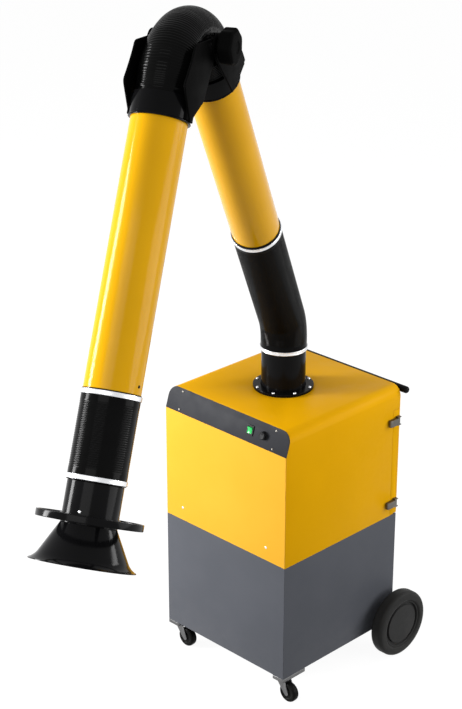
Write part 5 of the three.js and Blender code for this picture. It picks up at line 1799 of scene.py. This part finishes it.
@dataclass
class OuterArm(ArmPart):
    """The outer tube with its clamp and the hood hose."""

    tube_to: float = 1011.0
    screws: int = 2
    screw_radius: float = 4.6
    screw_height: float = 2.0
    screw_along: float = 988.0
    screw_angle: float = 98.4

    def build(self) -> None:
        """Builds the tube, the clamp, the screws and the hood hose."""
        place, body, neck = self.places.outer_tube, Body.OUTER_ARM, self.places.hood_to_neck
        draft = self.duct.tube(self.places.tube_to_elbow, self.tube_to)
        piece("tube_outer", draft, place, body, YELLOW_TUBE, ["outer_tube"])
        draft = self.duct.clamp(self.tube_to + self.duct.clamp_inset, 0.0)
        piece("clamp_outer", draft, place, body, ZINC, ["outer_clamp"])
        head = screw_head(self.screw_radius, self.screw_height, ALONG_X)
        mesh = ring_of(head, BLACK_PAINT, self.screws, self.duct.tube_radius, math.radians(self.screw_angle))
        piece("tube_screws", mesh, place @ moved(z=self.screw_along), body, BLACK_PAINT)
        start = self.tube_to + FIT
        length = self.places.hood_along + neck - FIT - start
        path = bent_path(length / 2, 1.0, 0.0, length / 2)
        made = self.duct.bellows("hood_bellows", "hood_hose", path, place @ moved(z=start))
        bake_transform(made)
        dress(ZINC, "hood_link")


@dataclass
class Hood(ArmPart):
    """The suction hood with its neck, cone, lip and ring handle."""

    neck_radius: float = 79.0
    cone_from: float = 243.0
    cone_to: float = 329.0
    cone_radius: float = 125.0
    rim_along: float = 353.0
    rim_radius: float = 149.5
    wall: float = 2.5
    ring_along: float = 227.0
    ring_height: float = 20.0
    ring_band: float = 6.0
    sleeve: float = 4.0
    spokes: int = 4
    spoke_half: float = 8.0
    screws: int = 3
    screw_radius: float = 4.2
    screw_height: float = 1.8
    screw_along: float = 209.0
    screw_angle: float = -179.3

    def cone(self) -> Draft:
        """The neck, the straight cone and its flared lip.

        Returns:
            The cone.
        """
        wall, spigot, neck, start = self.wall, self.duct.spigot_radius, self.neck_radius, self.places.hood_to_neck
        foot = start - self.duct.spigot_length
        edge, rim = (self.cone_radius, self.cone_to), (self.rim_radius, self.rim_along - wall)
        lip = bowed(edge, (edge[0] + 9.0, edge[1] + 15.0), rim, steps=10)
        outline = eased(
            [(spigot - wall, foot), (spigot, foot), (spigot, start), (neck, start), (neck, self.cone_from), edge],
            radius=2.0, closed=False
        )
        outline += [*lip, (self.rim_radius, self.rim_along), (self.rim_radius - wall * 2, self.rim_along)]
        outline += [(radius - wall * 0.9, along + wall * 0.9) for radius, along in reversed(lip[:-1])]
        outline += [
            (self.cone_radius - wall, self.cone_to + 1.3), (neck - wall, self.cone_from + 1.3),
            (neck - wall, start + wall), (spigot - wall, start + wall)
        ]
        return Draft().lathe(outline)

    def ring(self) -> Draft:
        """The ring handle with its sleeve and spokes.

        Returns:
            The ring handle.
        """
        middle, bore, outer = self.ring_along, self.neck_radius + FIT, self.rim_radius
        low = middle - self.ring_height / 2
        sleeve = mirrored([(bore, low), (bore + self.sleeve, low)], middle)
        hoop = mirrored([(outer - self.ring_band, low), (outer, low)], middle)
        span = (bore + self.sleeve / 2, outer - self.ring_band / 2)
        spoke = Draft().block(span, both(self.spoke_half), both(self.ring_height / 3), moved(z=middle), bevel=2.5)
        spokes = ring_of(spoke, BLACK_PAINT, self.spokes, 0.0, math.pi / self.spokes)
        return Draft().lathe(eased(sleeve, radius=1.2)).lathe(eased(hoop, radius=2.4)).merge(spokes)

    def build(self) -> None:
        """Builds every piece of the hood."""
        place, body = self.places.hood, Body.HOOD
        piece("hood_cone", self.cone(), place, body, BLACK_PAINT, ["hood"])
        piece("hood_grab_ring", self.ring(), place, body, BLACK_PAINT, ["hood_ring"])
        draft = self.duct.clamp(self.places.hood_to_neck - self.duct.clamp_inset, 0.0)
        piece("clamp_hood", draft, place, body, ZINC, ["hood_clamp"])
        head = screw_head(self.screw_radius, self.screw_height, ALONG_X)
        mesh = ring_of(head, ZINC, self.screws, self.neck_radius, math.radians(self.screw_angle))
        piece("neck_screws", mesh, place @ moved(z=self.screw_along), body, ZINC)
        dress(ZINC, "hood_yoke", "hood_pin")


@dataclass(frozen=True)
class Interior:
    """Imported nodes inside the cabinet, which keep their shape."""

    plated: tuple[str, ...] = ("deck_plate", "spark_baffle", "fan_housing")
    cast: tuple[str, ...] = ("fan_motor", "fan_impeller")
    pleated: tuple[str, ...] = ("filter_cartridge",)

    def build(self) -> None:
        """Dresses each node."""
        for finish, nodes in ((ZINC, self.plated), (ALLOY, self.cast), (FILTER, self.pleated)):
            dress(finish, *nodes)


# Studio


@dataclass(frozen=True)
class Softbox:
    """One soft lamp."""

    name: str
    place: Triple
    aim: Triple
    size: Point
    power: float

    def build(self) -> None:
        """Hangs the lamp and turns it to its aim."""
        lamp = bpy.data.lights.new(self.name, "AREA")
        lamp.shape = "RECTANGLE"
        lamp.size, lamp.size_y = self.size
        lamp.energy = self.power
        made = bpy.data.objects.new(self.name, lamp)
        made.location = self.place
        made.rotation_euler = (Vector(self.aim) - Vector(self.place)).to_track_quat("-Z", "Y").to_euler()
        bpy.context.scene.collection.objects.link(made)


@dataclass
class Studio:
    """The floor, the lamps, the world and the camera."""

    camera_place: Triple = (3.75877, -3.59749, 3.65554)
    camera_pitch: float = 22.83
    camera_turn: float = 45.16
    lens: float = 90.0
    sensor: float = 36.0
    sight: float = 200.0
    floor_half: float = 40.0
    floor_height: float = -0.0005
    floor_colour: Triple = (0.14, 0.14, 0.14)
    floor_lift: float = 0.93
    world_light: float = 0.38
    backdrop: float = 0.95
    lamps: tuple[Softbox, ...] = (
        Softbox("strip_left", (-4.3, -3.9, 2.3), (0.0, 0.0, 1.5), (1.4, 4.0), 610.0),
        Softbox("soft_right", (4.6, 2.9, 1.8), (0.0, 0.0, 1.2), (4.0, 3.0), 145.0),
        Softbox("strip_back", (2.0, 4.1, 2.8), (0.3, -0.4, 1.9), (0.9, 1.6), 50.0),
        Softbox("front_fill", (1.9, -5.2, 4.3), (0.0, 0.0, 1.3), (4.0, 3.0), 105.0),
    )

    def is_seen(self, nodes: Nodes) -> NodeSocket:
        """A value of 1 for rays that show the backdrop, seen or mirrored.

        Args:
            nodes: Node tree of the floor or of the world.

        Returns:
            The socket with the value.
        """
        rays = nodes.node("ShaderNodeLightPath").outputs
        shown = nodes.maths("MAXIMUM", rays["Is Camera Ray"], rays["Is Glossy Ray"])
        return nodes.maths("MAXIMUM", shown, rays["Is Transmission Ray"])

    def floor(self) -> None:
        """Lays a pale floor that keeps the shadow."""
        half = self.floor_half
        mesh = bpy.data.meshes.new("floor")
        mesh.from_pydata([(-half, -half, 0), (half, -half, 0), (half, half, 0), (-half, half, 0)], [], [(0, 1, 2, 3)])
        material = bpy.data.materials.new("pale_floor")
        material.use_nodes = True
        nodes = Nodes(material.node_tree)
        nodes.tree.nodes.remove(nodes.tree.nodes["Principled BSDF"])
        matt = nodes.node("ShaderNodeBsdfDiffuse", Color=(*self.floor_colour, 1.0))
        lift = nodes.node("ShaderNodeEmission", Strength=nodes.maths("MULTIPLY", self.is_seen(nodes), self.floor_lift))
        whole = nodes.joined("ShaderNodeAddShader", None, matt.outputs[0], lift.outputs[0])
        nodes.feed(nodes.tree.nodes["Material Output"], "Surface", whole.outputs[0])
        mesh.materials.append(material)
        made = bpy.data.objects.new("floor", mesh)
        made.location.z = self.floor_height
        bpy.context.scene.collection.objects.link(made)

    def world(self) -> None:
        """Lights the scene evenly from all round, with a pale backdrop."""
        world = bpy.data.worlds.new("studio")
        bpy.context.scene.world = world
        world.use_nodes = True
        nodes = Nodes(world.node_tree)
        white = (1.0, 1.0, 1.0, 1.0)
        light, shown = nodes.tree.nodes["Background"], nodes.node("ShaderNodeBackground")
        for node, strength in ((light, self.world_light), (shown, self.backdrop)):
            nodes.feed(node, "Color", white)
            nodes.feed(node, "Strength", strength)
        mix = nodes.joined("ShaderNodeMixShader", None, self.is_seen(nodes), light.outputs[0])
        nodes.feed(mix, 2, shown.outputs[0])
        nodes.feed(nodes.tree.nodes["World Output"], "Surface", mix.outputs[0])

    def camera(self) -> None:
        """Sets the camera where the photograph was taken from."""
        data = bpy.data.cameras.new("camera")
        data.lens, data.sensor_width, data.clip_end = self.lens, self.sensor, self.sight
        made = bpy.data.objects.new("camera", data)
        made.location = self.camera_place
        made.rotation_euler = (math.radians(90 - self.camera_pitch), 0.0, math.radians(self.camera_turn))
        bpy.context.scene.collection.objects.link(made)
        bpy.context.scene.camera = made

    def build(self) -> None:
        """Sets up the whole studio."""
        bpy.context.scene.view_settings.view_transform = "Standard"
        self.floor()
        self.world()
        self.camera()
        for lamp in self.lamps:
            lamp.build()


def main() -> None:
    """Builds the dressed extractor."""
    logging.basicConfig(level=logging.INFO, format="%(name)s: %(message)s")
    for leftover in ("Cube", "Light", "Camera"):
        if leftover in bpy.data.objects:
            bpy.data.objects.remove(bpy.data.objects[leftover])
    places = Places()
    Studio().build()
    for assembly in (Cabinet, RearDoor, Undercarriage, ArmFoot, InnerArm, Elbow, OuterArm, Hood):
        assembly(places).build()
    Interior().build()


if __name__ == "__main__":
    main()
